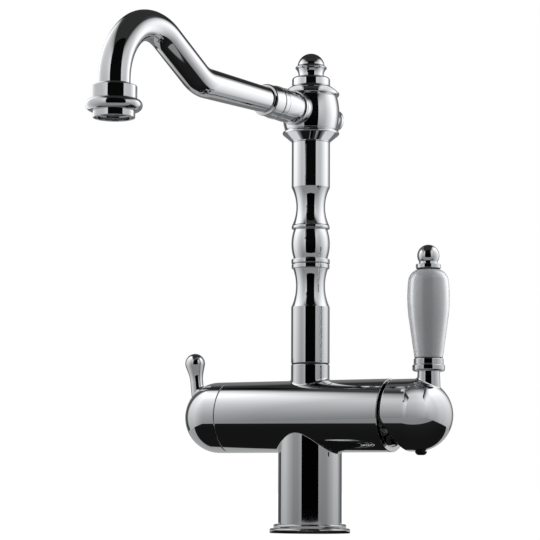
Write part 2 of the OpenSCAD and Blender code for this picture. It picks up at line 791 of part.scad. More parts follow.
module swivel_washer() {
    color(rubber) translate([0, 0, boss_top])
        flat_ring(riser_r - seam_inset, swivel_r + keeper_play, seam_washer);
}

module swivel_screw() {
    tip = spigot_r - keeper_groove + keeper_play;
    shoulder = swivel_r + swivel_clearance;
    end = riser_r - casting_chamfer;
    color(steel) translate([0, 0, boss_top - keeper_depth]) rotate([-90, 0, 0]) difference() {
        union() {
            translate([0, 0, tip]) cylinder(r = keeper_tip, h = shoulder - tip + cut);
            translate([0, 0, shoulder]) cylinder(r = keeper_radius, h = end - shoulder);
        }
        translate([0, 0, end - 1.4]) cylinder(d = keeper_radius, h = cut + 1.4, $fn = 6);
    }
}

module swivel_spigot() {
    groove = 2.4 * o_ring_section;
    seat = spigot_r - 2 * o_ring_section;
    color(brass) swung() difference() {
        union() {
            translate([0, 0, sleeve_bottom + 1.5])
                cylinder(r = spigot_r, h = riser_foot - sleeve_bottom - 1.5);
            translate([0, 0, riser_foot]) cylinder(r = thread_r, h = riser_thread_length);
        }
        translate([0, 0, sleeve_bottom])
            cylinder(r = spigot_bore / 2, h = sleeve_length + 2 * riser_thread_length);
        for (depth = o_ring_depths)
            translate([0, 0, boss_top - depth - groove / 2]) flat_ring(sleeve_r, seat, groove);
        translate([0, 0, boss_top - keeper_depth - keeper_tip - keeper_play])
            flat_ring(sleeve_r, spigot_r - keeper_groove, 2 * (keeper_tip + keeper_play));
    }
}

module spigot_o_rings() {
    color(rubber) swung() for (depth = o_ring_depths)
        translate([0, 0, boss_top - depth]) o_ring(spigot_r - o_ring_section, o_ring_section);
}

// Riser

// The hollow of a turned neck, as the space outside it
module neck_hollow(waist, height, hollow) {
    rotate_extrude() translate([waist / 2 + hollow, height]) circle(hollow, $fn = fine_steps);
}

module lower_riser() {
    ring_r = riser_r - 0.2;
    neck_top = double_ring_bottom;
    color(chrome) swung() difference() {
        union() {
            difference() {
                turned([[0, riser_foot], [riser_r - casting_chamfer, riser_foot],
                    [riser_r, riser_foot + casting_chamfer], [riser_r, neck_top], [0, neck_top]]);
                neck_hollow(lower_neck, lower_neck_height, lower_neck_hollow);
            }
            translate([0, 0, neck_top - cut])
                cylinder(r = ring_r - ring_groove, h = knop_bottom - neck_top + cut);
            rounded_ring(ring_r, neck_top, double_ring_height, 0.8);
            rounded_ring(riser_r, neck_top + double_ring_height + double_ring_gap,
                double_ring_height, 0.8);
        }
        translate([0, 0, riser_foot - cut])
            cylinder(r = thread_r, h = riser_thread_length + cut);
        translate([0, 0, riser_foot])
            cylinder(r = riser_bore / 2, h = knop_bottom - riser_foot + cut);
        translate([0, 0, knop_bottom - riser_thread_length])
            cylinder(r = thread_r, h = riser_thread_length + cut);
    }
}

module riser_knop() {
    middle = (knop_bottom + knop_top - thin_ring) / 2;
    color(chrome) swung() difference() {
        union() {
            intersection() {
                translate([0, 0, knop_bottom])
                    cylinder(r = riser_r, h = knop_height - thin_ring);
                rotate_extrude() intersection() {
                    translate([riser_r - knop_curve, middle]) circle(knop_curve, $fn = fine_steps);
                    translate([0, knop_bottom - cut]) square([riser_r, knop_height]);
                }
            }
            rounded_ring(riser_r - 0.1, knop_top - thin_ring, thin_ring, 0.9);
            translate([0, 0, knop_bottom - riser_thread_length])
                cylinder(r = thread_r, h = knop_height + 2 * riser_thread_length);
        }
        translate([0, 0, knop_bottom - riser_thread_length - cut])
            cylinder(r = spigot_bore / 2, h = knop_height + 2 * (riser_thread_length + cut));
    }
}

module upper_riser() {
    color(chrome) swung() difference() {
        union() {
            difference() {
                translate([0, 0, knop_top]) cylinder(r = riser_r, h = riser_top - knop_top);
                neck_hollow(upper_neck, upper_neck_height, upper_neck_hollow);
            }
            translate([0, 0, riser_top]) cylinder(r = socket_thread, h = riser_thread_length);
        }
        translate([0, 0, knop_top - cut]) cylinder(r = thread_r, h = riser_thread_length + cut);
        translate([0, 0, knop_top])
            cylinder(r = riser_bore / 2, h = riser_top - knop_top + riser_thread_length + cut);
    }
}

// Hub

// The hub's outline: cone, lower rim, cove, barrel, cove, upper rim and domed top
module hub_outside() {
    hub_r = hub_diameter / 2;
    rim_r = rim_diameter / 2;
    waist_low = lower_rim_height + 2.4;
    waist_high = upper_rim_height - 2.4;
    shoulder = rim_r - 0.3;
    top_r = riser_r + 0.2;
    rise = hub_dome - 1;
    cap = (pow(shoulder, 2) - pow(top_r, 2) - pow(rise, 2)) / (2 * rise);
    cap_radius = sqrt(pow(shoulder, 2) + pow(cap, 2));
    rotate_extrude() {
        polygon([[0, riser_top], [riser_r, riser_top], [rim_r - rim_edge, lower_rim_height - 1.2],
            [rim_r - rim_edge, lower_rim_height + rim_edge], [hub_r - 2.6, waist_low],
            [hub_r - 2.6, waist_high], [rim_r - rim_edge, upper_rim_height - rim_edge],
            [rim_r - rim_edge, upper_rim_height + rim_edge], [0, upper_rim_height + rim_edge]]);
        translate([rim_r - rim_edge, lower_rim_height]) circle(rim_edge);
        translate([rim_r - rim_edge, upper_rim_height]) circle(rim_edge);
        intersection() {
            translate([hub_r - hub_curve, spout_height - 0.5]) circle(hub_curve, $fn = fine_steps);
            translate([0, waist_low]) square([hub_r, waist_high - waist_low]);
        }
        intersection() {
            translate([0, upper_rim_height + 1 - cap]) circle(cap_radius, $fn = fine_steps);
            translate([0, upper_rim_height]) square([rim_r, hub_top - upper_rim_height]);
        }
    }
}

module spout_hub() {
    chamber_top = hub_top - finial_stub_length - 2;
    color(chrome) difference() {
        union() {
            swung() hub_outside();
            along_spout(0) cylinder(r = hub_boss_radius, h = hub_boss_reach);
        }
        swung() {
            translate([0, 0, riser_top - cut]) cylinder(r = socket_thread, h = 20);
            translate([0, 0, riser_top + riser_thread_length])
                cylinder(r = hub_chamber, h = chamber_top - riser_top - riser_thread_length);
            translate([0, 0, hub_top - finial_stub_length])
                cylinder(r = finial_stub, h = finial_stub_length + cut);
            translate([0, cap_seat, cap_height]) rotate([-90, 0, 0])
                cylinder(r = cap_flange, h = hub_diameter);
            translate([0, 0, cap_height]) rotate([-90, 0, 0])
                cylinder(r = cap_neck_radius - 1, h = hub_diameter);
        }
        along_spout(0) cylinder(r = socket_thread, h = hub_boss_reach + cut);
    }
}

module finial() {
    flare_r = finial_flare / 2;
    neck_r = finial_neck / 2;
    dome_foot = finial_flare_height + 1.8;
    color(chrome) swung() translate([0, 0, hub_top]) {
        rounded_ring(riser_r, 0, finial_disc, 0.6);
        rotate_extrude() {
            polygon([[0, 0], [riser_r - finial_round, 0], [riser_r - finial_round, finial_disc],
                [neck_r + 0.8, finial_neck_foot - 0.6], [neck_r, finial_neck_foot],
                [neck_r + 0.25, finial_neck_foot + 1.6], [neck_r + 1.1, finial_neck_foot + 3.4],
                [flare_r, finial_flare_height - 0.3], [flare_r, finial_flare_height + 0.3],
                [finial_dome - 0.2, dome_foot], [0, dome_foot]]);
            intersection() {
                translate([0, finial_height - finial_dome]) circle(finial_dome);
                translate([0, dome_foot - cut]) square([finial_dome, finial_height]);
            }
        }
        translate([0, 0, -finial_stub_length]) cylinder(r = finial_stub, h = finial_stub_length + cut);
    }
}

module rear_cap_washer() {
    color(rubber) swung() translate([0, cap_seat, cap_height]) rotate([-90, 0, 0])
        flat_ring(cap_flange - 0.4, cap_neck_radius - 1, cap_washer);
}

module hub_rear_cap() {
    ring = cap_ring_distance - cap_seat - cap_washer;
    stub = 5;
    color(chrome) swung() translate([0, cap_seat + cap_washer, cap_height]) rotate([-90, 0, 0]) {
        cylinder(r = cap_flange - 0.4, h = 1.6);
        cylinder(r = cap_neck_radius, h = ring + cut);
        rounded_ring(cap_ring_radius, ring, cap_ring_width, 0.9);
        translate([0, 0, ring + cap_ring_width])
            cylinder(r1 = cap_ring_radius - 1.2, r2 = 1.5, h = cap_dome);
        translate([0, 0, -cap_washer - stub]) cylinder(r = cap_neck_radius - 1, h = stub + cap_washer);
    }
}

// Spout

module spout_socket() {
    start = hub_boss_reach;
    middle = (start + flange_width + collar_start) / 2;
    half = collar_start - middle;
    swell = (pow(half, 2) + pow(sleeve_swell - sleeve_radius, 2)) / (2 * (sleeve_swell - sleeve_radius));
    color(chrome) difference() {
        union() {
            along_spout(start) rounded_ring(flange_radius, 0, flange_width, 0.9);
            along_spout(0) rotate_extrude() intersection() {
                translate([sleeve_swell - swell, middle]) circle(swell, $fn = fine_steps);
                translate([0, start + flange_width]) square([sleeve_swell, 2 * half]);
            }
            along_spout(hub_boss_reach - 9) cylinder(r = socket_thread, h = 9 + cut);
        }
        along_spout(hub_boss_reach - 10) cylinder(r = tube_bore, h = collar_start);
        along_spout(tube_root) cylinder(r = tube_root_radius, h = collar_start);
        along_spout(tube_root + 3) flat_ring(tube_root_radius + 1.4, tube_root_radius - cut, 2.4);
    }
}

module socket_o_ring() {
    color(rubber) along_spout(tube_root + 3) flat_ring(tube_root_radius + 1.4, tube_root_radius, 2.4);
}

module spout_collar() {
    color(chrome) difference() {
        union() {
            along_spout(collar_start) rounded_ring(collar_radius, 0.3, collar_band - 0.6, 0.8);
            along_spout(collar_start) cylinder(r = collar_radius - ring_groove, h = collar_band + cut);
            along_spout(collar_start + collar_band)
                rounded_ring(collar_radius, 0, collar_bead, 2);
        }
        along_spout(collar_start - cut)
            cylinder(r = tube_root_radius, h = collar_end - collar_start + 2 * cut);
    }
}

// One skin of the tube: its outside, or its bore
module tube_solid(start_r, r) {
    in_spout_plane() {
        run([collar_end, 0, 0], rise_start - collar_end + bend_overlap, start_r, r);
        bend(at_rise, rise_radius, rise_angle, r);
        joined_run(at_run, rise_length, r);
        bend(at_crown, crown_radius, -crown_turn, r);
        joined_run(at_middle, at_front_gap, r);
        bend(at_front, front_radius, -front_turn, r);
        run(ahead(at_drop, -bend_overlap), bend_overlap + drop_length, r, r);
    }
}

module spout_tube() {
    color(chrome) difference() {
        union() {
            tube_solid(tube_start_radius, tube_radius);
            along_spout(tube_root) cylinder(r = tube_root_radius, h = collar_end - tube_root);
        }
        tube_solid(tube_bore, tube_bore);
        along_spout(tube_root - cut) cylinder(r = tube_bore, h = collar_end - tube_root + cut);
        at_outlet(tube_end - cut) cylinder(r = tube_bore, h = 2 * cut);
    }
}

module outlet_collar() {
    passage = tube_bore;
    color(chrome) difference() {
        union() {
            at_outlet(0) turned([[0, bead_top - cut], [outlet_radius, bead_top - cut],
                [outlet_radius, outlet_top - 0.8], [outlet_radius - 0.8, outlet_top],
                [tube_radius + 1.2, outlet_top], [tube_radius, outlet_top + 1.6], [0, outlet_top]]);
            at_outlet(0) rounded_ring(bead_radius, collar_face, bead_top - collar_face, bead_section);
        }
        at_outlet(tube_end) cylinder(r = tube_radius, h = 20);
        at_outlet(collar_face) cylinder(r = passage, h = 20);
        at_outlet(collar_face - cut) cylinder(r = aerator_thread, h = bead_top - collar_face + cut);
    }
}

// Aerator, from its washer down to its lip
washer_bottom = bead_top - 1.8;
insert_top = washer_bottom - screen_thickness;
insert_bottom = insert_top - insert_thickness;

module aerator_washer() {
    color(rubber) at_outlet(washer_bottom)
        flat_ring(aerator_thread, aerator_thread - washer_width, bead_top - washer_bottom);
}

module aerator_housing() {
    color(chrome) difference() {
        union() {
            at_outlet(0) rounded_ring(lip_radius, outlet_height, collar_face - outlet_height, 0.4);
            at_outlet(collar_face - cut)
                cylinder(r = aerator_thread, h = washer_bottom - collar_face + cut);
        }
        at_outlet(insert_bottom) cylinder(r = insert_radius, h = 20);
        at_outlet(outlet_height - cut) cylinder(r = insert_radius - 1.2, h = 20);
        at_outlet(outlet_height - cut)
            cylinder(r = mouth_radius, h = insert_bottom - 1.2 - outlet_height + cut);
    }
}

// Places of a round patch of hexagonally packed holes
function hole_places(pitch, limit) = [for (row = [-6:6], col = [-6:6])
    let (x = (col + (row % 2 == 0 ? 0 : 0.5)) * pitch, y = row * pitch * sin(60))
    if (norm([x, y]) < limit) [x, y]];

module drilled_disc(r, thickness, hole, pitch) {
    difference() {
        cylinder(r = r, h = thickness);
        for (p = hole_places(pitch, r - hole - 0.8))
            translate([p[0], p[1], -cut]) cylinder(r = hole, h = thickness + 2 * cut);
    }
}

module aerator_insert() {
    color(grey_plastic) at_outlet(insert_bottom)
        drilled_disc(insert_radius, insert_thickness, insert_hole, insert_pitch);
}

module aerator_mesh() {
    color(steel) at_outlet(insert_top)
        drilled_disc(insert_radius, screen_thickness, insert_hole * 1.15, insert_pitch);
}

// Mixer cartridge

// Places of the two inlet ports and the outlet port, seen along the barrel
module at_ports() {
    translate([-outlet_port_rise, 0, 0]) children();
    for (side = [-1, 1])
        translate([inlet_port_drop, side * port_circle * sin(60), 0]) children();
}

module cartridge_base() {
    color(white_plastic) on_mixer_side(chamber_floor) difference() {
        union() {
            cylinder(r = cartridge_radius, h = base_plate);
            translate([0, 0, base_plate])
                flat_ring(cartridge_radius, fixed_disc_radius, base_rim);
        }
        translate([0, 0, -cut]) at_ports() {
            cylinder(r = port_radius, h = base_plate + 2 * cut);
            cylinder(r = port_radius + 1.4, h = cut + 1.5);
        }
    }
}

module cartridge_seals() {
    color(rubber) on_mixer_side(chamber_floor) at_ports()
        flat_ring(port_radius + 1.4, port_radius, 1.5);
}

module fixed_disc() {
    color(ceramic) on_mixer_side(fixed_disc_start) difference() {
        cylinder(r = fixed_disc_radius, h = disc_thickness);
        translate([0, 0, -cut]) at_ports() cylinder(r = port_radius, h = disc_thickness + 2 * cut);
    }
}

module moving_disc() {
    color(ceramic) on_mixer_side(moving_disc_start) difference() {
        cylinder(r = moving_disc_radius, h = disc_thickness);
        translate([0, 0, -cut]) cylinder(r = port_radius * 2, h = cut + disc_thickness / 2);
    }
}

module disc_carrier() {
    bore = spindle_ball + ball_play;
    color(grey_plastic) on_mixer_side(carrier_start) difference() {
        cylinder(r = moving_disc_radius, h = carrier_end - carrier_start);
        translate([0, 0, ball_distance - carrier_start - bore])
            cylinder(r = bore, h = carrier_end - carrier_start);
    }
}

module cartridge_housing() {
    bottom = fixed_disc_start + base_rim;
    bore = rotor_neck + rotor_clearance;
    color(grey_plastic) difference() {
        union() {
            on_mixer_side(bottom) cylinder(r = cartridge_radius, h = nut_start - bottom);
            on_mixer_side(nut_start) cylinder(r = bore + 1.9, h = nut_length - 1);
        }
        on_mixer_side(bottom - cut)
            cylinder(r = cartridge_radius - housing_wall, h = rotor_roof - bottom + cut);
        on_mixer_side(bottom) cylinder(r = bore, h = nut_start + nut_length);
    }
}

module temperature_carrier() {
    flange_r = cartridge_radius - housing_wall - 0.3;
    slot = spindle_square / 2 + slot_play;
    length = rotor_end - rotor_start + 2 * cut;
    color(white_plastic) difference() {
        union() {
            on_mixer_side(rotor_start) cylinder(r = flange_r, h = rotor_flange);
            on_mixer_side(rotor_start) cylinder(r = rotor_neck, h = rotor_end - rotor_start);
        }
        on_mixer_side(rotor_start - cut) translate([-slot_half, -slot, 0])
            cube([2 * slot_half, 2 * slot, length]);
        translate([pivot_distance, -rotor_neck - cut, axis_height]) rotate([-90, 0, 0])
            cylinder(r = pin_radius, h = 2 * (rotor_neck + cut));
    }
}

module pivot_pin() {
    color(steel) translate([pivot_distance, -pin_half, axis_height]) rotate([-90, 0, 0])
        cylinder(r = pin_radius, h = 2 * pin_half);
}

module cartridge_spindle() {
    half = spindle_square / 2;
    color(brass) difference() {
        union() {
            translate([pivot_distance, -half, axis_height]) rotate([-90, 0, 0])
                cylinder(r = eye_radius, h = spindle_square);
            translate([pivot_distance, -half, axis_height - half])
                cube([spindle_end - pivot_distance, spindle_square, spindle_square]);
            on_mixer_side(ball_distance) cylinder(r = arm_radius, h = spindle_arm);
            on_mixer_side(ball_distance) sphere(r = spindle_ball);
        }
        translate([pivot_distance, -half - cut, axis_height]) rotate([-90, 0, 0])
            cylinder(r = pin_radius + rotor_clearance, h = spindle_square + 2 * cut);
    }
}

module cartridge_nut() {
    inner = rotor_neck + rotor_clearance + 2.4;
    color(brass) difference() {
        on_mixer_side(nut_start) flat_ring(nut_radius, inner, nut_length);
        for (turn = [0:90:270])
            on_mixer_side(nut_start + nut_length - 3) rotate([0, 0, turn])
                translate([inner, 0, 0]) translate([-cut, -2, 0]) cube([nut_radius, 4, 3 + cut]);
    }
}

// Mixer handle

// The dome's round body: cylinder and half ball
module dome_body(r) {
    on_mixer_side(rim_distance) cylinder(r = r, h = dome_distance - rim_distance);
    on_mixer_side(dome_distance) sphere(r = r);
}

module slanted_cut() {
    size = 80;
    translate([rim_distance, 0, axis_height - rim_cut_drop]) rotate([0, -rim_cut_angle, 0])
        translate([-size, -size / 2, -size]) cube(size);
    on_mixer_side(rim_distance - size) cylinder(r = size, h = size);
}

module handle_dome() {
    inner = dome_radius - dome_wall;
    square = spindle_square + square_clearance;
    color(chrome) difference() {
        union() {
            difference() {
                dome_body(dome_radius);
                on_mixer_side(rim_distance - cut)
                    cylinder(r = inner, h = dome_distance - rim_distance + cut);
                on_mixer_side(dome_distance) sphere(r = inner);
                slanted_cut();
            }
            intersection() {
                dome_body(dome_radius - dome_wall / 2);
                union() {
                    on_mixer_side(dome_hub_start) cylinder(r = dome_hub_radius, h = dome_distance);
                    at_lever(0) cylinder(r = stem_foot_radius + 1.6, h = dome_radius);
                    translate([clamp_distance, 0, axis_height - dome_radius])
                        cylinder(r = clamp_radius + 3, h = dome_radius);
                }
            }
        }
        translate([dome_hub_start - cut, -square / 2, axis_height - square / 2])
            cube([spindle_end + 0.4 - dome_hub_start + cut, square, square]);
        at_lever(stem_foot) cylinder(r = stem_foot_radius, h = dome_radius);
        at_lever(stem_foot - stem_stub_length) cylinder(r = stem_stub_radius, h = dome_radius);
        translate([clamp_distance, 0, axis_height - dome_radius - cut])
            cylinder(r = clamp_radius, h = dome_radius + cut);
        translate([clamp_distance, 0, axis_height - dome_radius - cut]) {
            cylinder(r = plug_shank, h = plug_shank_length + cut + plug_seat);
            cylinder(r = plug_radius + square_clearance, h = cut + plug_seat);
        }
    }
}

module handle_grub_screw() {
    tip = -spindle_square / 2;
    color(steel) translate([clamp_distance, 0, axis_height + tip - clamp_length]) difference() {
        cylinder(r = clamp_radius, h = clamp_length);
        translate([0, 0, -cut]) cylinder(r = clamp_radius * 0.55, h = 3 + cut, $fn = 6);
    }
}

module grub_screw_plug() {
    color(rubber) translate([clamp_distance, 0, axis_height - dome_radius + plug_seat]) {
        cylinder(r = plug_shank, h = plug_shank_length);
        rotate([180, 0, 0]) intersection() {
            cylinder(r = plug_radius, h = plug_height);
            translate([0, 0, plug_height - plug_radius * 1.2]) sphere(r = plug_radius * 1.2);
        }
    }
}

// Porcelain lever

module lever_stem() {
    color(chrome) difference() {
        union() {
            at_lever(stem_foot) cylinder(r1 = stem_foot_radius, r2 = stem_top_radius,
                h = stem_top - stem_foot);
            at_lever(stem_foot - stem_stub_length)
                cylinder(r = stem_stub_radius, h = stem_stub_length + cut);
        }
        at_lever(rod_bottom) cylinder(r = rod_radius, h = stem_top);
    }
}

module lever_bead() {
    color(chrome) at_lever(bead_bottom) difference() {
        union() {
            rounded_ring(lever_bead_radius, 0, lever_bead_height, 2);
            rounded_ring(lever_collar_radius, lever_bead_height - 1,
                lever_collar_height + 1, 0.4);
        }
        translate([0, 0, -cut]) cylinder(r = rod_radius, h = 20);
    }
}

module grip_washers() {
    color(rubber) {
        at_lever(grip_bottom - grip_washer)
            flat_ring(grip_foot_radius - 0.4, rod_radius, grip_washer);
        at_lever(grip_top) flat_ring(ball_ring_radius - 0.6, rod_radius, grip_washer);
    }
}

// The porcelain's profile: foot, straight flank, belly curve and round shoulder
module grip_profile() {
    belly = grip_length - grip_belly;
    reach_in = grip_foot_radius + grip_belly_curve - grip_radius;
    slope = atan2(belly, reach_in) - acos(grip_belly_curve / norm([reach_in, belly]));
    tangent = belly - grip_belly_curve * sin(slope);
    tangent_r = grip_radius - grip_belly_curve * (1 - cos(slope));
    lean = asin((grip_belly - grip_shoulder) / (grip_belly_curve - grip_shoulder));
    shoulder = [grip_radius - grip_belly_curve + (grip_belly_curve - grip_shoulder) * cos(lean)
        - bend_skin, grip_length - grip_shoulder];
    meeting = shoulder[1] + grip_shoulder * sin(lean);
    polygon([[0, 0], [grip_foot_radius, 0], [tangent_r, tangent], [tangent_r - 1, meeting],
        [shoulder[0], grip_length], [0, grip_length]]);
    intersection() {
        translate([grip_radius - grip_belly_curve, belly]) circle(grip_belly_curve, $fn = fine_steps);
        translate([0, tangent]) square([grip_radius, meeting - tangent]);
    }
    translate(shoulder) circle(grip_shoulder);
}

module porcelain_grip() {
    color(porcelain) at_lever(grip_bottom) difference() {
        rotate_extrude() intersection() {
            grip_profile();
            square([grip_radius, grip_length]);
        }
        translate([0, 0, -cut]) cylinder(r = grip_bore, h = grip_length + 2 * cut);
    }
}

module lever_finial() {
    color(chrome) at_lever(ball_ring_bottom) difference() {
        union() {
            rounded_ring(ball_ring_radius, 0, ball_ring_height, 0.4);
            cylinder(r = ball_neck_radius, h = ball_height - 2);
            translate([0, 0, ball_height]) sphere(r = ball_radius);
        }
        translate([0, 0, -cut]) cylinder(r = rod_radius, h = ball_height + cut);
    }
}

module lever_rod() {
    color(steel) at_lever(rod_bottom) cylinder(r = rod_radius, h = rod_top - rod_bottom);
}

// Shut-off valve

module valve_headwork() {
    flow_window = 3;
    color(brass) difference() {
        union() {
            on_shutoff_side(valve_seat) cylinder(r = headwork_slim, h = headwork_thread - valve_seat);
            on_shutoff_side(headwork_thread)
                cylinder(r = valve_radius, h = hexagon_start - headwork_thread);
            on_shutoff_side(hexagon_start) cylinder(r = valve_radius + 3, h = hexagon_length, $fn = 6);
            on_shutoff_side(hexagon_start) cylinder(r = nose_radius, h = headwork_nose - hexagon_start);
        }
        on_shutoff_side(valve_seat - cut)
            cylinder(r = cavity_radius, h = valve_cavity_end - valve_seat + cut);
        on_shutoff_side(valve_seat)
            cylinder(r = valve_spindle_radius + rotor_clearance, h = headwork_nose - valve_seat + cut);
        for (side = [-1, 1])
            on_shutoff_side(valve_foot_start + valve_foot / 2) rotate([side * 90, 0, 0])
                cylinder(r = flow_window / 2, h = valve_radius);
    }
}

module valve_seal() {
    color(rubber) on_shutoff_side(valve_seat)
        flat_ring(cavity_radius, seat_radius - 0.6, valve_seal_thickness);
}

// The opening of a shut-off disc: two facing quarters
module quarter_ports(thickness) {
    for (turn = [45, 225])
        rotate([0, 0, turn]) translate([valve_disc_radius / 2, 0, -cut])
            cylinder(r = 1.9, h = thickness + 2 * cut);
}

module valve_fixed_disc() {
    color(ceramic) on_shutoff_side(valve_disc_start) difference() {
        cylinder(r = cavity_radius, h = valve_disc_thickness);
        quarter_ports(valve_disc_thickness);
    }
}

module valve_moving_disc() {
    color(ceramic) on_shutoff_side(valve_turn_start) difference() {
        cylinder(r = valve_disc_radius, h = valve_disc_thickness);
        rotate([0, 0, 90]) quarter_ports(valve_disc_thickness);
    }
}

module valve_spindle() {
    half = shutoff_square / 2;
    color(brass) {
        on_shutoff_side(valve_foot_start) cylinder(r = valve_disc_radius, h = valve_foot);
        on_shutoff_side(valve_foot_start)
            cylinder(r = valve_spindle_radius, h = shutoff_hub_start - valve_foot_start);
        on_shutoff_side(shutoff_hub_start - cut / 2) translate([-half, -half, 0])
            cube([shutoff_square, shutoff_square, shutoff_spindle_end - shutoff_hub_start]);
    }
}

// Shut-off handle

module shutoff_body(r) {
    start = barrel_half + shutoff_gap;
    on_shutoff_side(start) cylinder(r = r, h = shutoff_distance - start);
    on_shutoff_side(shutoff_distance) sphere(r = r);
}

module shutoff_dome() {
    start = barrel_half + shutoff_gap;
    inner = barrel_r - dome_wall;
    square = shutoff_square + square_clearance;
    color(chrome) difference() {
        union() {
            difference() {
                shutoff_body(barrel_r);
                on_shutoff_side(start - cut) cylinder(r = inner, h = shutoff_distance - start + cut);
                on_shutoff_side(shutoff_distance) sphere(r = inner);
                on_shutoff_side(0) cylinder(r = 2 * barrel_r, h = start);
            }
            intersection() {
                shutoff_body(barrel_r - dome_wall / 2);
                union() {
                    on_shutoff_side(shutoff_hub_start)
                        cylinder(r = shutoff_hub_radius, h = shutoff_distance);
                    at_peg(0) cylinder(r = peg_radius + 2.4, h = barrel_r);
                    translate([-shutoff_screw_distance, 0, axis_height]) rotate([-90, 0, 0])
                        cylinder(r = shutoff_screw_radius + 2.4, h = barrel_r);
                }
            }
        }
        on_shutoff_side(shutoff_hub_start - cut) translate([-square / 2, -square / 2, 0])
            cube([square, square, shutoff_spindle_end - shutoff_hub_start + cut + 0.4]);
        at_peg(peg_foot) cylinder(r = peg_radius, h = barrel_r);
        at_peg(peg_foot - peg_stub_length) cylinder(r = peg_stub_radius, h = barrel_r);
        translate([-shutoff_screw_distance, 0, axis_height]) rotate([-90, 0, 0])
            cylinder(r = shutoff_screw_radius, h = 2 * barrel_r);
    }
}

module shutoff_lever() {
    stub_foot = peg_foot - peg_stub_length;
    color(chrome) at_peg(0) rotate_extrude() {
        polygon([[0, stub_foot], [peg_stub_radius, stub_foot], [peg_stub_radius, peg_foot],
            [peg_radius, peg_foot], [peg_radius, peg_taper_foot],
            [bulb_radius - 0.25, bulb_height - 1.7], [0, bulb_height - 1.7]]);
        intersection() {
            translate([0, bulb_height]) circle(bulb_radius);
            translate([0, peg_taper_foot]) square([bulb_radius, bulb_height]);
        }
    }
}

module shutoff_grub_screw() {
    start = shutoff_square / 2;
    color(steel) translate([-shutoff_screw_distance, start, axis_height]) rotate([-90, 0, 0])
        difference() {
            cylinder(r = shutoff_screw_radius, h = shutoff_screw_length);
            translate([0, 0, shutoff_screw_length - 2.4])
                cylinder(r = shutoff_screw_radius * 0.55, h = 3, $fn = 6);
        }
}

base_ring();
base_gasket();
body_casting();
swivel_sleeve();
swivel_washer();
swivel_screw();
swivel_spigot();
spigot_o_rings();
lower_riser();
riser_knop();
upper_riser();
spout_hub();
finial();
hub_rear_cap();
rear_cap_washer();
spout_socket();
socket_o_ring();
spout_collar();
spout_tube();
outlet_collar();
aerator_washer();
aerator_mesh();
aerator_insert();
aerator_housing();
cartridge_base();
cartridge_seals();
fixed_disc();
moving_disc();
disc_carrier();
cartridge_housing();
temperature_carrier();
pivot_pin();
cartridge_spindle();
cartridge_nut();
handle_dome();
handle_grub_screw();
grub_screw_plug();
lever_stem();
lever_bead();
grip_washers();
porcelain_grip();
lever_finial();
lever_rod();
valve_headwork();
valve_seal();
valve_fixed_disc();
valve_moving_disc();
valve_spindle();
shutoff_dome();
shutoff_lever();
shutoff_grub_screw();
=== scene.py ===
"""Looks of the kitchen mixer tap: chrome, porcelain and seals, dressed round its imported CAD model.

Every visible chrome or porcelain piece is a turned, swept or blended surface worked out with numpy.
Sizes are millimetres in the tap's own frame: X along the cross barrel towards the porcelain lever,
-Y to the front, Z up from the sink top.
"""

import json
import logging
import math
from dataclasses import dataclass, field
from enum import Enum
from typing import Iterable, Sequence

import bpy
import numpy as np
from mathutils import Matrix, Vector


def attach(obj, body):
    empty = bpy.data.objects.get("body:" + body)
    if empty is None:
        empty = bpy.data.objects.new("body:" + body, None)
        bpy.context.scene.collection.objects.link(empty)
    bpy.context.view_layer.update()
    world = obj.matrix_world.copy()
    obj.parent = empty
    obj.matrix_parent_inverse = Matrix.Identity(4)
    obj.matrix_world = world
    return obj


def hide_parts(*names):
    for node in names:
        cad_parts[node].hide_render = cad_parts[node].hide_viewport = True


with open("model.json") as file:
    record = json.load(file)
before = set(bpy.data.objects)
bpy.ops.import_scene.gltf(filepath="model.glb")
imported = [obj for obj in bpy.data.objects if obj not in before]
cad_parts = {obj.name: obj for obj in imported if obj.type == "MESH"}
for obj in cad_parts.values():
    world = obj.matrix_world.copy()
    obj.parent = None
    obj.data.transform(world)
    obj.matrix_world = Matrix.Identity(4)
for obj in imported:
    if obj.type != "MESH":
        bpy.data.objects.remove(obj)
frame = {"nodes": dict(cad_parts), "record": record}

log = logging.getLogger("tap")
MM = 0.001
ROUND_STEPS = 160
FINE_STEPS = 192
SHARP_EDGE = math.radians(28)
STRAIGHT = math.radians(178)
FILLET_STEP = 12
FILLET_REACH = 0.495
SAME_POINT = 1e-5
ON_AXIS = 1e-4
SPOUT_SWING = math.radians(5.0)
BARREL_AXIS = 83.6
SPOUT_AXIS = 306.3
Point = tuple[float, float]
Triple = tuple[float, float, float]
Array = np.ndarray


# Placing


@dataclass(frozen=True)
class Placement:
    """Where a piece's own axes lie in the tap's frame.

    A point goes to origin + x*X + y*Y + z*Z, in millimetres, and then to metres.
    """

    origin: Triple
    x: Triple = (1.0, 0.0, 0.0)
    y: Triple = (0.0, 1.0, 0.0)
    z: Triple = (0.0, 0.0, 1.0)

    def points(self, local: Array) -> Array:
        """Turns local millimetres into metres in the tap's frame."""
        return (self.directions(local) + np.array(self.origin)) * MM

    def directions(self, local: Array) -> Array:
        """Turns local directions into the tap's frame."""
        return local @ np.array([self.x, self.y, self.z])


UP: Triple = (0.0, 0.0, 1.0)
AHEAD: Triple = (-math.sin(SPOUT_SWING), -math.cos(SPOUT_SWING), 0.0)
ACROSS: Triple = (AHEAD[1], -AHEAD[0], 0.0)
UPRIGHT = Placement((0.0, 0.0, 0.0))
# Z runs along the barrel: to the porcelain lever with X down, or to the shut-off handle with X up.
MIXER_SIDE = Placement((0.0, 0.0, BARREL_AXIS), (0, 0, -1), (0, 1, 0), (1, 0, 0))
SHUTOFF_SIDE = Placement((0.0, 0.0, BARREL_AXIS), (0, 0, 1), (0, 1, 0), (-1, 0, 0))
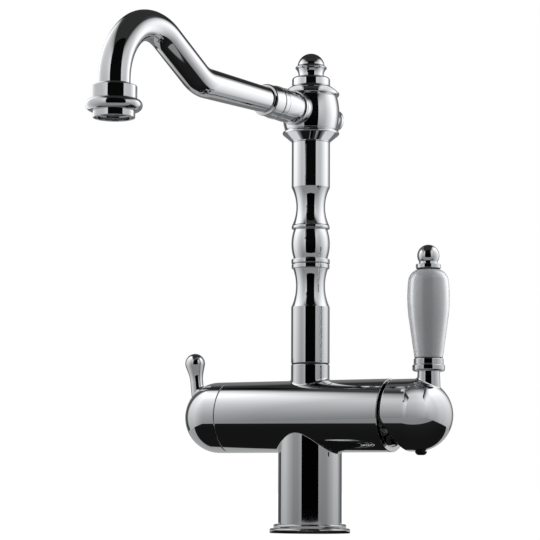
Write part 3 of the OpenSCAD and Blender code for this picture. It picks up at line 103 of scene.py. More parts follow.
# Z runs forward along the spout's root with X up, or X runs forward in its plane with Y up.
ALONG_SPOUT = Placement((0.0, 0.0, SPOUT_AXIS), UP, ACROSS, AHEAD)
SPOUT_PLANE = Placement((0.0, 0.0, SPOUT_AXIS), AHEAD, UP, ACROSS)


# Outlines of turned pieces


@dataclass(frozen=True)
class Arc:
    """A circle's arc in an outline, from one angle to another, in degrees from the radius axis."""

    r: float
    z: float
    radius: float
    start: float
    end: float
    steps: int

    def points(self) -> Array:
        """Points (r + radius cos a, z + radius sin a) for even steps of a."""
        a = np.radians(np.linspace(self.start, self.end, self.steps + 1))
        return np.stack([self.r + self.radius * np.cos(a), self.z + self.radius * np.sin(a)], 1)


# A corner is (radius, height), or (radius, height, fillet) where it is rounded.
Part = tuple[float, ...] | Arc


def arc_through(a: Point, b: Point, c: Point, steps: int) -> Arc:
    """The arc from a by way of b to c.

    With the points as complex numbers and w = (c - a) / (b - a), the circle's centre is
    a + (b - a) (w - |w|^2) / (2i Im w).

    Args:
        a: where it starts.
        b: a point on it.
        c: where it ends.
        steps: its steps.

    Returns:
        The arc.
    """
    first, middle, last = (complex(*p) for p in (a, b, c))
    w = (last - first) / (middle - first)
    centre = first + (middle - first) * (w - abs(w) ** 2) / (2j * w.imag)
    angles = [math.atan2((p - centre).imag, (p - centre).real) for p in (first, middle, last)]
    to_middle, to_last = (angles[1] - angles[0]) % math.tau, (angles[2] - angles[0]) % math.tau
    span = to_last if to_middle < to_last else to_last - math.tau
    start, end = math.degrees(angles[0]), math.degrees(angles[0] + span)
    return Arc(centre.real, centre.imag, abs(first - centre), start, end, steps)


def bead(r: float, bottom: float, height: float, edge: float) -> list[Part]:
    """Outer side of a ring with rounded edges, from its lower to its upper end."""
    return [(r, bottom, edge), (r, bottom + height, edge)]


def unit(v: Array) -> Array:
    """The vectors along the last axis, at length one."""
    return v / np.linalg.norm(v, axis=-1, keepdims=True)


def rounded(back: Array, here: Array, on: Array, fillet: float) -> list[Point]:
    """The points that round a corner between its two neighbours.

    A fillet of radius f in a corner of inner angle g starts f / tan(g/2) away from it, and its
    centre lies on the corner's bisector at f / sin(g/2).

    Args:
        back: the point before the corner.
        here: the corner.
        on: the point after it.
        fillet: the fillet's radius.

    Returns:
        The fillet's points, or the corner if it is nearly straight.
    """
    lengths = [np.linalg.norm(back - here), np.linalg.norm(on - here)]
    back, on = unit(back - here), unit(on - here)
    angle = math.acos(float(np.clip(back @ on, -1, 1)))
    if angle > STRAIGHT:
        return [tuple(here)]
    reach = min(fillet / math.tan(angle / 2), FILLET_REACH * min(lengths))
    f = reach * math.tan(angle / 2)
    centre = here + unit(back + on) * f / math.sin(angle / 2)
    (a, b), (c, d) = here + back * reach - centre, here + on * reach - centre
    start = math.atan2(b, a)
    sweep = (math.atan2(d, c) - start + math.pi) % math.tau - math.pi
    steps = max(3, int(abs(math.degrees(sweep)) / FILLET_STEP) + 1)
    t = start + sweep * np.linspace(0, 1, steps + 1)
    return [(centre[0] + f * math.cos(q), centre[1] + f * math.sin(q)) for q in t]


def outline(parts: Iterable[Part], closed: bool = False) -> Array:
    """Points of a turned outline, with the corners' fillets worked out.

    Args:
        parts: corners and arcs, from the foot outwards and up.
        closed: whether the last point joins the first.

    Returns:
        (n, 2) radii and heights.
    """
    rough: list[tuple[float, ...]] = []
    for part in parts:
        rough.extend(part.points() if isinstance(part, Arc) else [part])
    places = [np.array(p[:2]) for p in rough]
    out: list[Point] = []
    for i, (part, here) in enumerate(zip(rough, places)):
        if len(part) == 3 and (closed or 0 < i < len(rough) - 1):
            out += rounded(places[i - 1], here, places[(i + 1) % len(rough)], part[2])
        else:
            out.append(tuple(here))
    points = np.array(out)
    step = np.linalg.norm(np.diff(points, axis=0), axis=1)
    return points[np.concatenate([[True], step > SAME_POINT])]


def outline_normals(points: Array, closed: bool) -> tuple[Array, Array]:
    """Normals at the two ends of each stretch of an outline.

    A stretch going (dr, dz) faces (dz, -dr). At a smooth point the two stretches' normals are
    mixed by the squares of their lengths, so a fillet keeps its neighbour's direction; at a
    sharp edge each keeps its own.

    Args:
        points: (n, 2) radii and heights.
        closed: whether the last point joins the first.

    Returns:
        Two (k, 2) arrays: the normals at each stretch's start and at its end.
    """
    following = np.roll(points, -1, axis=0) if closed else points[1:]
    stretch = following - (points if closed else points[:-1])
    weight = (stretch**2).sum(1, keepdims=True)
    own = unit(np.stack([stretch[:, 1], -stretch[:, 0]], 1))
    before = np.roll(own, 1, axis=0)
    mixed = own * weight + before * np.roll(weight, 1, axis=0)
    mixed /= np.maximum(np.linalg.norm(mixed, axis=1, keepdims=True), 1e-12)
    smooth = (own * before).sum(1, keepdims=True) > math.cos(SHARP_EDGE)
    smooth[0] &= closed
    end = np.where(np.roll(smooth, -1, axis=0), np.roll(mixed, -1, axis=0), own)
    return np.where(smooth, mixed, own), end


# Meshes


def grid_quads(rows: int, columns: int, closed: bool) -> Array:
    """Vertex numbers of a grid's quads, turned outwards along rows x columns.

    Args:
        rows: the grid's rows.
        columns: its columns.
        closed: whether the last column joins the first.

    Returns:
        (k, 4) vertex numbers.
    """
    v = np.arange(columns if closed else columns - 1)
    u, v = np.meshgrid(np.arange(rows - 1), v, indexing="ij")
    low, high, v2 = u * columns, (u + 1) * columns, (v + 1) % columns
    return np.stack([low + v, high + v, high + v2, low + v2], -1).reshape(-1, 4)


class Skin:
    """Collects surfaces and makes them one mesh object with exact normals."""

    def __init__(self, placement: Placement) -> None:
        """Starts empty, in the given placement."""
        self.placement = placement
        self.vertices: list[Array] = []
        self.corners: list[Array] = []
        self.totals: list[Array] = []
        self.normals: list[Array] = []
        self.count = 0

    def add(
        self,
        vertices: Array,
        groups: Iterable[tuple[Array, Array]],
        placement: Placement | None = None,
    ) -> None:
        """Adds vertices and the faces on them.

        Args:
            vertices: (n, 3) local millimetres.
            groups: pairs of (k, c) indices into those vertices and (k, c, 3) corner normals.
            placement: another placement than the skin's own.
        """
        place = placement or self.placement
        self.vertices.append(place.points(vertices))
        for faces, normals in groups:
            self.corners.append((faces + self.count).ravel())
            self.totals.append(np.full(len(faces), faces.shape[1]))
            self.normals.append(place.directions(normals.reshape(-1, 3)))
        self.count += len(vertices)

    def add_tube(self, points: Array, normals: Array, placement: Placement | None = None) -> None:
        """Adds a grid of points (u, v, 3) that closes along v, turned outwards along u x v."""
        quads = grid_quads(*points.shape[:2], True)
        self.add(points.reshape(-1, 3), [(quads, normals.reshape(-1, 3)[quads])], placement)

    def turn(
        self,
        parts: Iterable[Part],
        closed: bool = False,
        steps: int = ROUND_STEPS,
        placement: Placement | None = None,
    ) -> None:
        """Turns an outline about Z: a point (r, z) goes to (r cos a, r sin a, z).

        A point on the axis becomes one vertex, so poles are closed.

        Args:
            parts: the outline's corners and arcs, foot first.
            closed: whether the outline closes on itself.
            steps: points round the circle.
            placement: another placement than the skin's own.
        """
        points = outline(parts, closed)
        start, end = outline_normals(points, closed)
        a = np.arange(steps) * 2 * math.pi / steps
        ring = np.stack([np.cos(a), np.sin(a)], 1)
        pole = points[:, 0] < ON_AXIS
        rings = [
            np.column_stack([ring * r, np.full(steps, z)])[: 1 if alone else steps]
            for (r, z), alone in zip(points, pole)
        ]
        first = np.cumsum([0] + [len(rows) for rows in rings])
        low = np.arange(len(start))
        which = np.stack([low, low, low + 1, low + 1], 1) % len(points)
        at = (np.arange(steps)[:, None] + np.array([0, 1, 1, 0])) % steps
        alone = pole[which][:, None]
        corners = first[which][:, None] + at * ~alone
        own = np.stack([start, start, end, end], 1)[:, None]
        rise = np.broadcast_to(own[..., 1:], (*corners.shape, 1))
        normals = np.concatenate([ring[at] * own[..., :1], rise], -1)
        normals = np.where(alone[..., None], np.array(UP) * np.copysign(1.0, rise), normals)
        groups = []
        for ends, keep in ((0, 0), [0, 1, 2, 3]), ((1, 0), [0, 2, 3]), ((0, 1), [0, 1, 2]):
            k = (pole[which[:, 1:3]] == ends).all(1)
            faces = corners[k][..., keep].reshape(-1, len(keep))
            groups.append((faces, normals[k][..., keep, :].reshape(-1, len(keep), 3)))
        self.add(np.concatenate(rings), groups, placement)

    def build(self, node: str, body: str, slot: str = "chrome", name: str = "") -> None:
        """Makes the mesh object, lets it ride on a body and dresses it.

        Args:
            node: the CAD node that it stands for.
            body: the body that carries it.
            slot: the record's material slot, which says the finish.
            name: the new piece's name, or else the node's with an ending.
        """
        name = name or f"{node}_skin"
        mesh = bpy.data.meshes.new(name)
        vertices = np.concatenate(self.vertices)
        corners = np.concatenate(self.corners).astype(np.int32)
        totals = np.concatenate(self.totals)
        starts = np.concatenate([[0], np.cumsum(totals)[:-1]]).astype(np.int32)
        mesh.vertices.add(len(vertices))
        mesh.vertices.foreach_set("co", vertices.astype(np.float32).ravel())
        mesh.loops.add(len(corners))
        mesh.loops.foreach_set("vertex_index", corners)
        mesh.polygons.add(len(totals))
        mesh.polygons.foreach_set("loop_start", starts)
        mesh.polygons.foreach_set("use_smooth", np.ones(len(totals), bool))
        mesh.update(calc_edges=True)
        mesh.normals_split_custom_set(np.concatenate(self.normals).tolist())
        mesh.materials.append(SLOT_FINISHES[slot].material())
        piece = bpy.data.objects.new(name, mesh)
        bpy.context.scene.collection.objects.link(piece)
        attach(piece, body)
        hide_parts(node)
        log.info("%s: %d faces on %s", name, len(totals), body)


def turned(
    node: str,
    body: str,
    placement: Placement,
    parts: Iterable[Part],
    closed: bool = False,
    slot: str = "chrome",
) -> None:
    """Makes the turned piece that stands for one CAD node, from its outline.

    Args:
        node: the CAD node.
        body: the body that carries it.
        placement: where it stands.
        parts: its outline, foot first.
        closed: whether the outline closes on itself.
        slot: the record's material slot.
    """
    skin = Skin(placement)
    skin.turn(parts, closed)
    skin.build(node, body, slot)


def rolled_strip(
    wall: Array, meet: Array, foot: Array, wall_n: Array, foot_n: Array, turn: Array
) -> tuple[Array, Array]:
    """The strip that a rolling ball's arc leaves between a wall and what it stands on.

    The arc is a rational quadratic with the corner as its middle point, weighted by the cosine
    of half the angle between the two normals.

    Args:
        wall: (n, 3) points where the arc leaves the wall.
        meet: (n, 3) points where the wall meets what it stands on.
        foot: (n, 3) points where the arc ends.
        wall_n: (n, 3) normals at the wall.
        foot_n: (n, 3) normals at the foot.
        turn: (n, 1) angles between the wall's and the other surface's normals.

    Returns:
        (11, n, 3) points and normals.
    """
    s = np.linspace(0, 1, 11)[:, None, None]
    a, b, c = (1 - s) ** 2, 2 * s * (1 - s) * np.cos(turn / 2), s**2
    points = (a * wall + b * meet + c * foot) / (a + b + c)
    return points, unit(wall_n * (1 - s) + foot_n * s)


@dataclass(frozen=True)
class StemFillet:
    """The fillet round a stem that stands on a ball, from the ball's centre with Z up the stem.

    Args:
        ball: the ball's radius.
        offset: the stem's distance from the ball's centre.
        stem: the stem's radius where it meets the ball.
        taper: how much the stem's radius shrinks per millimetre of height.
        radius: the rolling ball's radius.
    """

    ball: float
    offset: float
    stem: float
    taper: float
    radius: float

    def add_to(self, skin: Skin, placement: Placement, steps: int = 128) -> None:
        """Adds the strip.

        At angle t the stem's wall meets the ball at (offset + r cos t, r sin t, height). The
        rolling ball's arc leaves both at radius * tan(half the angle between their normals).

        Args:
            skin: the skin that takes it.
            placement: the ball's centre, Z up the stem.
            steps: points round the stem.
        """
        t = np.arange(steps) * math.tau / steps
        radial = np.stack([np.cos(t), np.sin(t), np.zeros_like(t)], 1)
        meet = radial * self.stem + np.array([self.offset, 0.0, 0.0])
        meet[:, 2] = np.sqrt(self.ball**2 - meet[:, 0] ** 2 - meet[:, 1] ** 2)
        meet -= radial * (self.taper * (meet[:, 2:] - meet[:, 2].mean()))
        wall_n = unit(radial + np.array([0.0, 0.0, self.taper]))
        ball_n = unit(meet)
        dot = (wall_n * ball_n).sum(1, keepdims=True)
        turn = np.arccos(np.clip(dot, -1, 1))
        reach = self.radius * np.tan(turn / 2)
        on_wall = meet + (np.array(UP) - radial * self.taper) * reach
        q = reach / self.ball
        foot_n = ball_n * np.cos(q) + unit(wall_n - ball_n * dot) * np.sin(q)
        strip = rolled_strip(on_wall, meet, self.ball * foot_n, wall_n, foot_n, turn)
        skin.add_tube(*strip, placement)


# Shader maths


class Value:
    """A socket that can be added, subtracted, multiplied and compared like a number."""

    def __init__(self, nodes: "NodeGarden", socket: bpy.types.NodeSocket | None) -> None:
        """Wraps an output socket."""
        self.nodes = nodes
        self.socket = socket

    def _math(self, operation: str, a: "Value | float", b: "Value | float") -> "Value":
        """A Math node on two values."""
        return self.nodes.make("ShaderNodeMath", {0: a, 1: b}, operation=operation)

    def __add__(self, other: "Value | float") -> "Value":
        """The sum."""
        return self._math("ADD", self, other)

    __radd__ = __add__

    def __mul__(self, other: "Value | float") -> "Value":
        """The product."""
        return self._math("MULTIPLY", self, other)

    __rmul__ = __mul__

    def __sub__(self, other: "Value | float") -> "Value":
        """This less the other."""
        return self._math("SUBTRACT", self, other)

    def __rsub__(self, other: float) -> "Value":
        """The other less this."""
        return self._math("SUBTRACT", other, self)

    def above(self, limit: float) -> "Value":
        """One where the value is above the limit, otherwise zero."""
        return self._math("GREATER_THAN", self, limit)

    def ramp(
        self, low: float, high: float, to_low: float, to_high: float, kind: str = "SMOOTHSTEP"
    ) -> "Value":
        """Maps low..high onto two other numbers, smoothly at first, held outside them.

        Args:
            low, high: the range that counts.
            to_low, to_high: what its ends become.
            kind: the kind of interpolation.

        Returns:
            The mapped value.
        """
        span = {"From Min": low, "From Max": high, "To Min": to_low, "To Max": to_high}
        return self.nodes.make(
            "ShaderNodeMapRange", {"Value": self, **span}, interpolation_type=kind
        )

    def profile(self, *stops: Point) -> "Value":
        """Follows straight lines from stop to stop, each a place and the number there.

        Args:
            stops: places, in rising order, and the numbers there.

        Returns:
            The followed value.
        """
        total: Value | float = stops[0][1]
        for (low, start), (high, end) in zip(stops, stops[1:]):
            total = total + self.ramp(low, high, 0.0, end - start, "LINEAR")
        return total


@dataclass(frozen=True)
class Grain:
    """A noise's scale, detail and roughness."""

    scale: float
    detail: float = 2.0
    roughness: float = 0.5


class NodeGarden:
    """Makes nodes in one tree."""

    def __init__(self, tree: bpy.types.NodeTree) -> None:
        """Empties the tree."""
        self.tree = tree
        tree.nodes.clear()

    def make(
        self,
        kind: str,
        inputs: dict[str | int, object] | None = None,
        output: str | int = 0,
        **settings: object,
    ) -> Value:
        """Makes a node of any kind.

        Args:
            kind: the node's type.
            inputs: socket name or number to a number, colour or Value.
            output: which output the returned value wraps.
            settings: its properties, set first.

        Returns:
            The wrapped output socket.
        """
        node = self.tree.nodes.new(kind)
        for key, setting in settings.items():
            setattr(node, key, setting)
        for key, given in (inputs or {}).items():
            if isinstance(given, Value):
                self.tree.links.new(given.socket, node.inputs[key])
            else:
                node.inputs[key].default_value = given
        return Value(self, node.outputs[output] if len(node.outputs) else None)

    def place(self) -> Value:
        """The piece's own coordinates, in metres."""
        return self.make("ShaderNodeTexCoord", {}, "Object")

    def noise(self, place: Value, grain: Grain) -> Value:
        """A smooth noise between 0 and 1."""
        inputs = {"Scale": grain.scale, "Detail": grain.detail, "Roughness": grain.roughness}
        return self.make("ShaderNodeTexNoise", {"Vector": place, **inputs})

    def mix(self, share: Value | float, a: Triple, b: Triple) -> Value:
        """A colour between two colours."""
        inputs = {0: share, 6: (*a, 1.0), 7: (*b, 1.0)}
        return self.make("ShaderNodeMix", inputs, 2, data_type="RGBA")

    def surface(self, inputs: dict[str, object]) -> None:
        """The Principled surface: fixed numbers on its own sockets, the rest linked."""
        shader = self.make("ShaderNodeBsdfPrincipled", inputs)
        self.make("ShaderNodeOutputMaterial", {"Surface": shader})


def new_material(name: str) -> tuple[bpy.types.Material, NodeGarden]:
    """An empty material and the maker of its nodes.

    Args:
        name: the material's name.

    Returns:
        The material and its node maker.
    """
    made = bpy.data.materials.new(name)
    made.use_nodes = True
    return made, NodeGarden(made.node_tree)


# Finishes


@dataclass(frozen=True)
class Finish:
    """A surface of two tones that a cloudy noise mixes, with a roughness that follows it.

    A second noise, the skin, bumps the normal by the relief, in metres.
    """

    name: str
    colour: Triple
    tone: Triple
    cloud: Grain
    gloss: tuple[float, float, float, float]
    skin: Grain | None = None
    relief: float = 0.0
    share: tuple[float, float, float, float] | None = None
    constants: tuple[tuple[str, float], ...] = ()

    def material(self) -> bpy.types.Material:
        """The material, made on first use.

        Returns:
            The one material of this name.
        """
        found = bpy.data.materials.get(self.name)
        if found:
            return found
        made, nodes = new_material(self.name)
        place = nodes.place()
        cloud = nodes.noise(place, self.cloud)
        share = cloud.ramp(*self.share) if self.share else cloud
        inputs: dict[str, object] = dict(self.constants)
        inputs["Base Color"] = nodes.mix(share, self.colour, self.tone)
        inputs["Roughness"] = self.roughness(nodes, place, cloud)
        if self.skin:
            height = nodes.noise(place, self.skin)
            bump = {"Strength": 1.0, "Distance": self.relief, "Height": height}
            inputs["Normal"] = nodes.make("ShaderNodeBump", bump)
        nodes.surface(inputs)
        return made

    def roughness(self, nodes: NodeGarden, place: Value, cloud: Value) -> Value:
        """The roughness that follows the cloud."""
        return cloud.ramp(*self.gloss)


@dataclass(frozen=True)
class PolishedChrome(Finish):
    """Buffed brass under bright chrome plate, with hairlines that wiping has left."""

    def roughness(self, nodes: NodeGarden, place: Value, cloud: Value) -> Value:
        """Faint clouds from handling, and hairlines."""
        lines = {"Vector": place, "Scale": (900.0, 900.0, 60.0)}
        hairs = nodes.noise(nodes.make("ShaderNodeMapping", lines), Grain(1.0))
        return super().roughness(nodes, place, cloud) + hairs.ramp(0.66, 0.8, 0.0, 0.02)


def shade(colour: Triple, share: float) -> Triple:
    """The colour, darkened to a share."""
    return tuple(c * share for c in colour)


def turned_metal(name: str, colour: Triple, gloss: float) -> Finish:
    """Bare machined metal with dull patches and the fine rings that a lathe tool leaves.

    Args:
        name: the material's name.
        colour: its colour.
        gloss: its least roughness.

    Returns:
        The finish.
    """
    ramp = (0.3, 0.7, gloss, gloss + 0.14)
    rings = Grain(1800.0, 2.0, 0.7)
    return Finish(
        name, colour, shade(colour, 0.78), Grain(90.0, 3.0), ramp, rings, 0.00004, None, METAL
    )


def moulded_plastic(name: str, colour: Triple) -> Finish:
    """Moulded plastic with a spark-eroded grain, and a change of tone where the melt ran."""
    ramp = (0.3, 0.7, 0.38, 0.5)
    return Finish(name, colour, shade(colour, 0.88), Grain(60.0), ramp, Grain(1500.0), 0.00003)


METAL = (("Metallic", 1.0),)
CHROME_COLOUR: Triple = (0.60, 0.604, 0.615)
# Nearly a mirror: the buffing leaves shallow waves of about 14 mm.
CHROME = PolishedChrome(
    "polished_chrome",
    CHROME_COLOUR,
    shade(CHROME_COLOUR, 0.96),
    Grain(28.0, 3.0, 0.6),
    gloss=(0.35, 0.75, 0.018, 0.0396),
    skin=Grain(55.0, 1.0),
    relief=0.000016,
    constants=METAL,
)
# White glaze over a slip-cast body, mottled under the glaze.
PORCELAIN = Finish(
    "glazed_porcelain",
    (0.69, 0.70, 0.72),
    (0.665, 0.67, 0.68),
    Grain(420.0, 3.0, 0.6),
    gloss=(0.2, 0.8, 0.22, 0.32),
    skin=Grain(120.0),
    relief=0.00002,
    share=(0.4, 0.7, 0.0, 1.0),
    constants=(("Coat Roughness", 0.06), ("Coat Weight", 0.6)),
)
# Black sealing rubber with a dusty bloom in patches.
RUBBER = Finish(
    "seal_rubber",
    (0.012, 0.012, 0.013),
    (0.05, 0.05, 0.05),
    Grain(160.0, 3.0),
    gloss=(0.3, 0.8, 0.5, 0.72),
    skin=Grain(2400.0),
    relief=0.00003,
    share=(0.45, 0.8, 0.0, 0.5),
)
# Lapped alumina: dense, ivory white and evenly satin.
CERAMIC = Finish(
    "ground_alumina", (0.74, 0.72, 0.65), (0.69, 0.67, 0.60), Grain(700.0), (0.3, 0.7, 0.2, 0.3)
)
SLOT_FINISHES: dict[str, Finish] = {
    "chrome": CHROME,
    "porcelain": PORCELAIN,
    # Brass colour with painted shade: darkened far below bare brass, for the brass pieces that sit
    # inside the tap.
    "brass": turned_metal("turned_brass", (0.34, 0.26, 0.13), 0.36),
    "steel": turned_metal("plain_steel", (0.52, 0.53, 0.55), 0.3),
    "rubber": RUBBER,
    "white_plastic": moulded_plastic("white_acetal", (0.78, 0.78, 0.75)),
    # Near black rather than grey: painted shade for the plastic pieces in the gap and in the outlet.
    "grey_plastic": moulded_plastic("grey_plastic", (0.035, 0.036, 0.04)),
    "ceramic": CERAMIC,
}
NODE_FINISHES: dict[str, Finish] = {
    # The cartridge nut's near-black colour is painted shade: the shade in the gap between the mixer
    # dome and the barrel's end.
    "cartridge_nut": turned_metal("brass_painted_shade", (0.045, 0.04, 0.035), 0.5),
    # The aerator gauze's near-black colour is painted shade: the shade inside the outlet.
    "aerator_mesh": turned_metal("gauze_painted_shade", (0.03, 0.03, 0.033), 0.5),
}


def dress_cad_nodes() -> None:
    """Gives each CAD node its own finish, or that of its material slot in the record."""
    slots = {s["node"]: s["material_slot"] for s in frame["record"]["subparts"]}
    for name, node in frame["nodes"].items():
        made = NODE_FINISHES.get(name, SLOT_FINISHES[slots[name]]).material()
        if not node.material_slots:
            node.data.materials.append(made)
        for place in node.material_slots:
            place.material = made


# Sub-assemblies


@dataclass
class Base:
    """The stepped ring at the tap's foot."""

    lower: float = 29.0
    upper: float = 26.2
    lower_height: float = 3.3
    top: float = 6.4
    bore: float = 20.0
    gasket_outer: float = 27.0
    gasket_inner: float = 22.5
    gasket_height: float = 1.8

    def build(self) -> None:
        """Turns the ring, with the groove for its seal underneath."""
        groove = [(self.gasket_inner, 0.0), (self.gasket_inner, self.gasket_height)]
        groove += [(self.gasket_outer, self.gasket_height), (self.gasket_outer, 0.0)]
        steps = [(self.lower, 0.0, 0.5), (self.lower, self.lower_height, 1.1)]
        steps += [(self.upper, self.lower_height, 0.25), (self.upper, self.top, 1.2)]
        ring = [(self.bore, 0.0, 0.2), *groove, *steps, (23.0, self.top), (self.bore, self.top)]
        turned("base_ring", "tap_body", UPRIGHT, ring, closed=True)


class JointSide(Enum):
    """Which side of the barrel a pillar meets."""

    BELOW = -1
    ABOVE = 1


@dataclass
class Casting:
    """The pillar, the cross barrel and the riser's boss, blended with small fillets."""

    barrel: float = 26.0
    half: float = 65.7
    rim_round: float = 0.5
    pillar: float = 23.0
    pillar_foot: float = 6.4
    boss: float = 14.0
    boss_top: float = 121.0
    spigot: float = 20.0
    spigot_foot: float = 0.5
    fillet_below: float = 1.6
    fillet_above: float = 2.2
    hole_offset: float = 9.475
    drill: float = 3.4
    drill_depth: float = 12.0

    def joint(self, skin: Skin, side: JointSide, r: float, far: float, fillet: float) -> None:
        """One pillar with the half of the barrel that it meets.

        At each angle the pillar's wall meets the barrel in a point. A rolling ball's arc bridges
        the corner there: it leaves both at fillet * tan(half the angle between their normals).
        From the arc's foot the barrel is a grid of straight rays, in length and arc, to the
        rectangle of its half.

        Args:
            skin: the skin that takes the surfaces.
            side: below or above the barrel.
            r: the pillar's radius.
            far: height of the pillar's far end over the barrel's axis, along the side.
            fillet: the rolling ball's radius.
        """
        radius = self.barrel
        t = np.arange(FINE_STEPS) * 2 * math.pi / FINE_STEPS
        cos, sin, nil = np.cos(t), np.sin(t), np.zeros_like(t)

        def on_barrel(x: Array, q: Array) -> tuple[Array, Array]:
            """Points and normals at a length and at an angle from the barrel's top line."""
            n = np.stack([np.zeros_like(q), np.sin(q), np.cos(q)], -1)
            return n * radius + x[..., None] * np.array([1.0, 0.0, 0.0]), n

        meet = np.stack([r * cos, r * sin, np.sqrt(radius**2 - (r * sin) ** 2)], 1)
        wall_n = np.stack([cos, sin, nil], 1)
        barrel_n = np.stack([nil, meet[:, 1], meet[:, 2]], 1) / radius
        turn = np.arccos(np.clip((wall_n * barrel_n).sum(1), -1, 1))
        away = np.cross(unit(np.cross(wall_n, barrel_n)), barrel_n)
        away *= np.sign((away * wall_n).sum(1, keepdims=True))
        reach = fillet * np.tan(turn / 2)
        on_wall = meet + reach[:, None] * np.array(UP)
        roll = np.arcsin(meet[:, 1] / radius)
        roll += reach * (away[:, 1] * np.cos(roll) - away[:, 2] * np.sin(roll)) / radius
        x = meet[:, 0] + reach * away[:, 0]
        foot, foot_n = on_barrel(x, roll)
        strip, strip_n = rolled_strip(on_wall, meet, foot, wall_n, foot_n, turn[:, None])
        share = np.linspace(0, 1, 4)[:, None, None]
        pillar = np.stack([r * cos, r * sin, nil + far], 1) * (1 - share) + on_wall * share
        stretch = 1 / np.maximum(np.abs(cos), np.abs(sin))
        x_far = (self.half - self.rim_round) * cos * stretch
        roll_far = (math.pi / 2) * sin * stretch
        share = np.linspace(0, 1, 25)[1:, None]
        top, top_n = on_barrel(x + (x_far - x) * share, roll + (roll_far - roll) * share)
        points = np.concatenate([pillar, strip[1:], top])
        normals = np.concatenate([np.tile(wall_n, (4, 1, 1)), strip_n[1:], top_n])
        points[..., 2] *= side.value
        normals[..., 2] *= side.value
        points[..., 2] += BARREL_AXIS
        if side is JointSide.BELOW:
            points, normals = points[:, ::-1], normals[:, ::-1]
        skin.add_tube(points, normals)

    def rim(self, radius: float, end: float) -> list[Part]:
        """The rounded edge of a round end, after the wall's last point."""
        low, inner = end - self.rim_round, radius - self.rim_round
        return [(radius, low), Arc(inner, low, self.rim_round, 0, 90, 5)]

    def tapped_hole(self, skin: Skin, sx: int, sy: int, radius: float, depth: float) -> None:
        """One quarter of the spigot's underside with its blind hole.

        From the hole's centre each ray runs from the hole's edge to the nearer of the quarter's
        two straight sides and its round side.

        Args:
            skin: the skin that takes the surfaces.
            sx: the quarter's side along X, 1 or -1.
            sy: the quarter's side along Y.
            radius: the hole's radius.
            depth: the thread's depth, before the drill's own.
        """
        at, far = self.hole_offset, self.spigot
        corners = np.array([(0.0, 0.0), (far, 0.0), (0.0, far)]) - at
        special = np.arctan2(corners[:, 1], corners[:, 0]) % math.tau
        t = np.unique(np.concatenate([np.linspace(0, math.tau, 73)[:-1], special]))
        c, s = np.cos(t), np.sin(t)
        with np.errstate(divide="ignore", invalid="ignore"):
            to_x = np.where(c < -1e-9, -at / c, np.inf)
            to_y = np.where(s < -1e-9, -at / s, np.inf)
        b = at * (c + s)
        to_round = -b + np.sqrt(b**2 - (2 * at**2 - far**2))
        reach = np.minimum(np.minimum(to_x, to_y), to_round)
        d = radius + (reach - radius) * np.array([1.0, 0.5, 0.0])[:, None]
        flat = np.full_like(d, self.spigot_foot)
        grid = np.stack([(at + d * c) * sx, (at + d * s) * sy, flat], -1)
        order = slice(None, None, sx * sy)
        skin.add_tube(grid[:, order], np.tile([0.0, 0.0, -1.0], (*d.shape, 1)))
        thread = self.spigot_foot + depth
        deep = thread + self.drill_depth
        hole = [(0.0, deep), (self.drill, deep), (self.drill, thread), (radius, thread)]
        place = Placement((sx * at, sy * at, 0.0))
        skin.turn([*hole, (radius, self.spigot_foot)], steps=48, placement=place)

    def build(self) -> None:
        """Makes the casting's whole skin."""
        skin = Skin(UPRIGHT)
        edge = self.boss_top - self.rim_round
        below, above = BARREL_AXIS - self.pillar_foot, edge - BARREL_AXIS
        self.joint(skin, JointSide.BELOW, self.pillar, below, self.fillet_below)
        self.joint(skin, JointSide.ABOVE, self.boss, above, self.fillet_above)
        cartridge_mouth = [(22.4, self.half, 0.3), (22.4, 61.2), (21.0, 61.2), (21.0, 54.0)]
        valve_mouth = [(17.4, self.half, 0.3), (17.4, 58.0)]
        seat = self.boss_top - 2.0
        boss_mouth = [(12.0, self.boss_top), (12.0, seat), (0.0, seat)]
        end = self.rim(self.barrel, self.half)
        foot = [(self.spigot, self.spigot_foot), (self.spigot, self.pillar_foot)]
        for place, parts in (
            (MIXER_SIDE, [*end, *cartridge_mouth, (0.0, 54.0)]),
            (SHUTOFF_SIDE, [*end, *valve_mouth, (0.0, 58.0)]),
            (UPRIGHT, [*self.rim(self.boss, self.boss_top), *boss_mouth]),
            (UPRIGHT, [*foot, (self.pillar, self.pillar_foot)]),
        ):
            skin.turn(parts, steps=FINE_STEPS, placement=place)
        for sx, sy, r, depth in ((1, 1, 5.0, 12.0), (1, -1, 5.0, 12.0), (-1, 1, 5.0, 12.0)):
            self.tapped_hole(skin, sx, sy, r, depth)
        self.tapped_hole(skin, -1, -1, 4.0, 16.0)
        skin.build("body_casting", "tap_body", name="casting_skin")


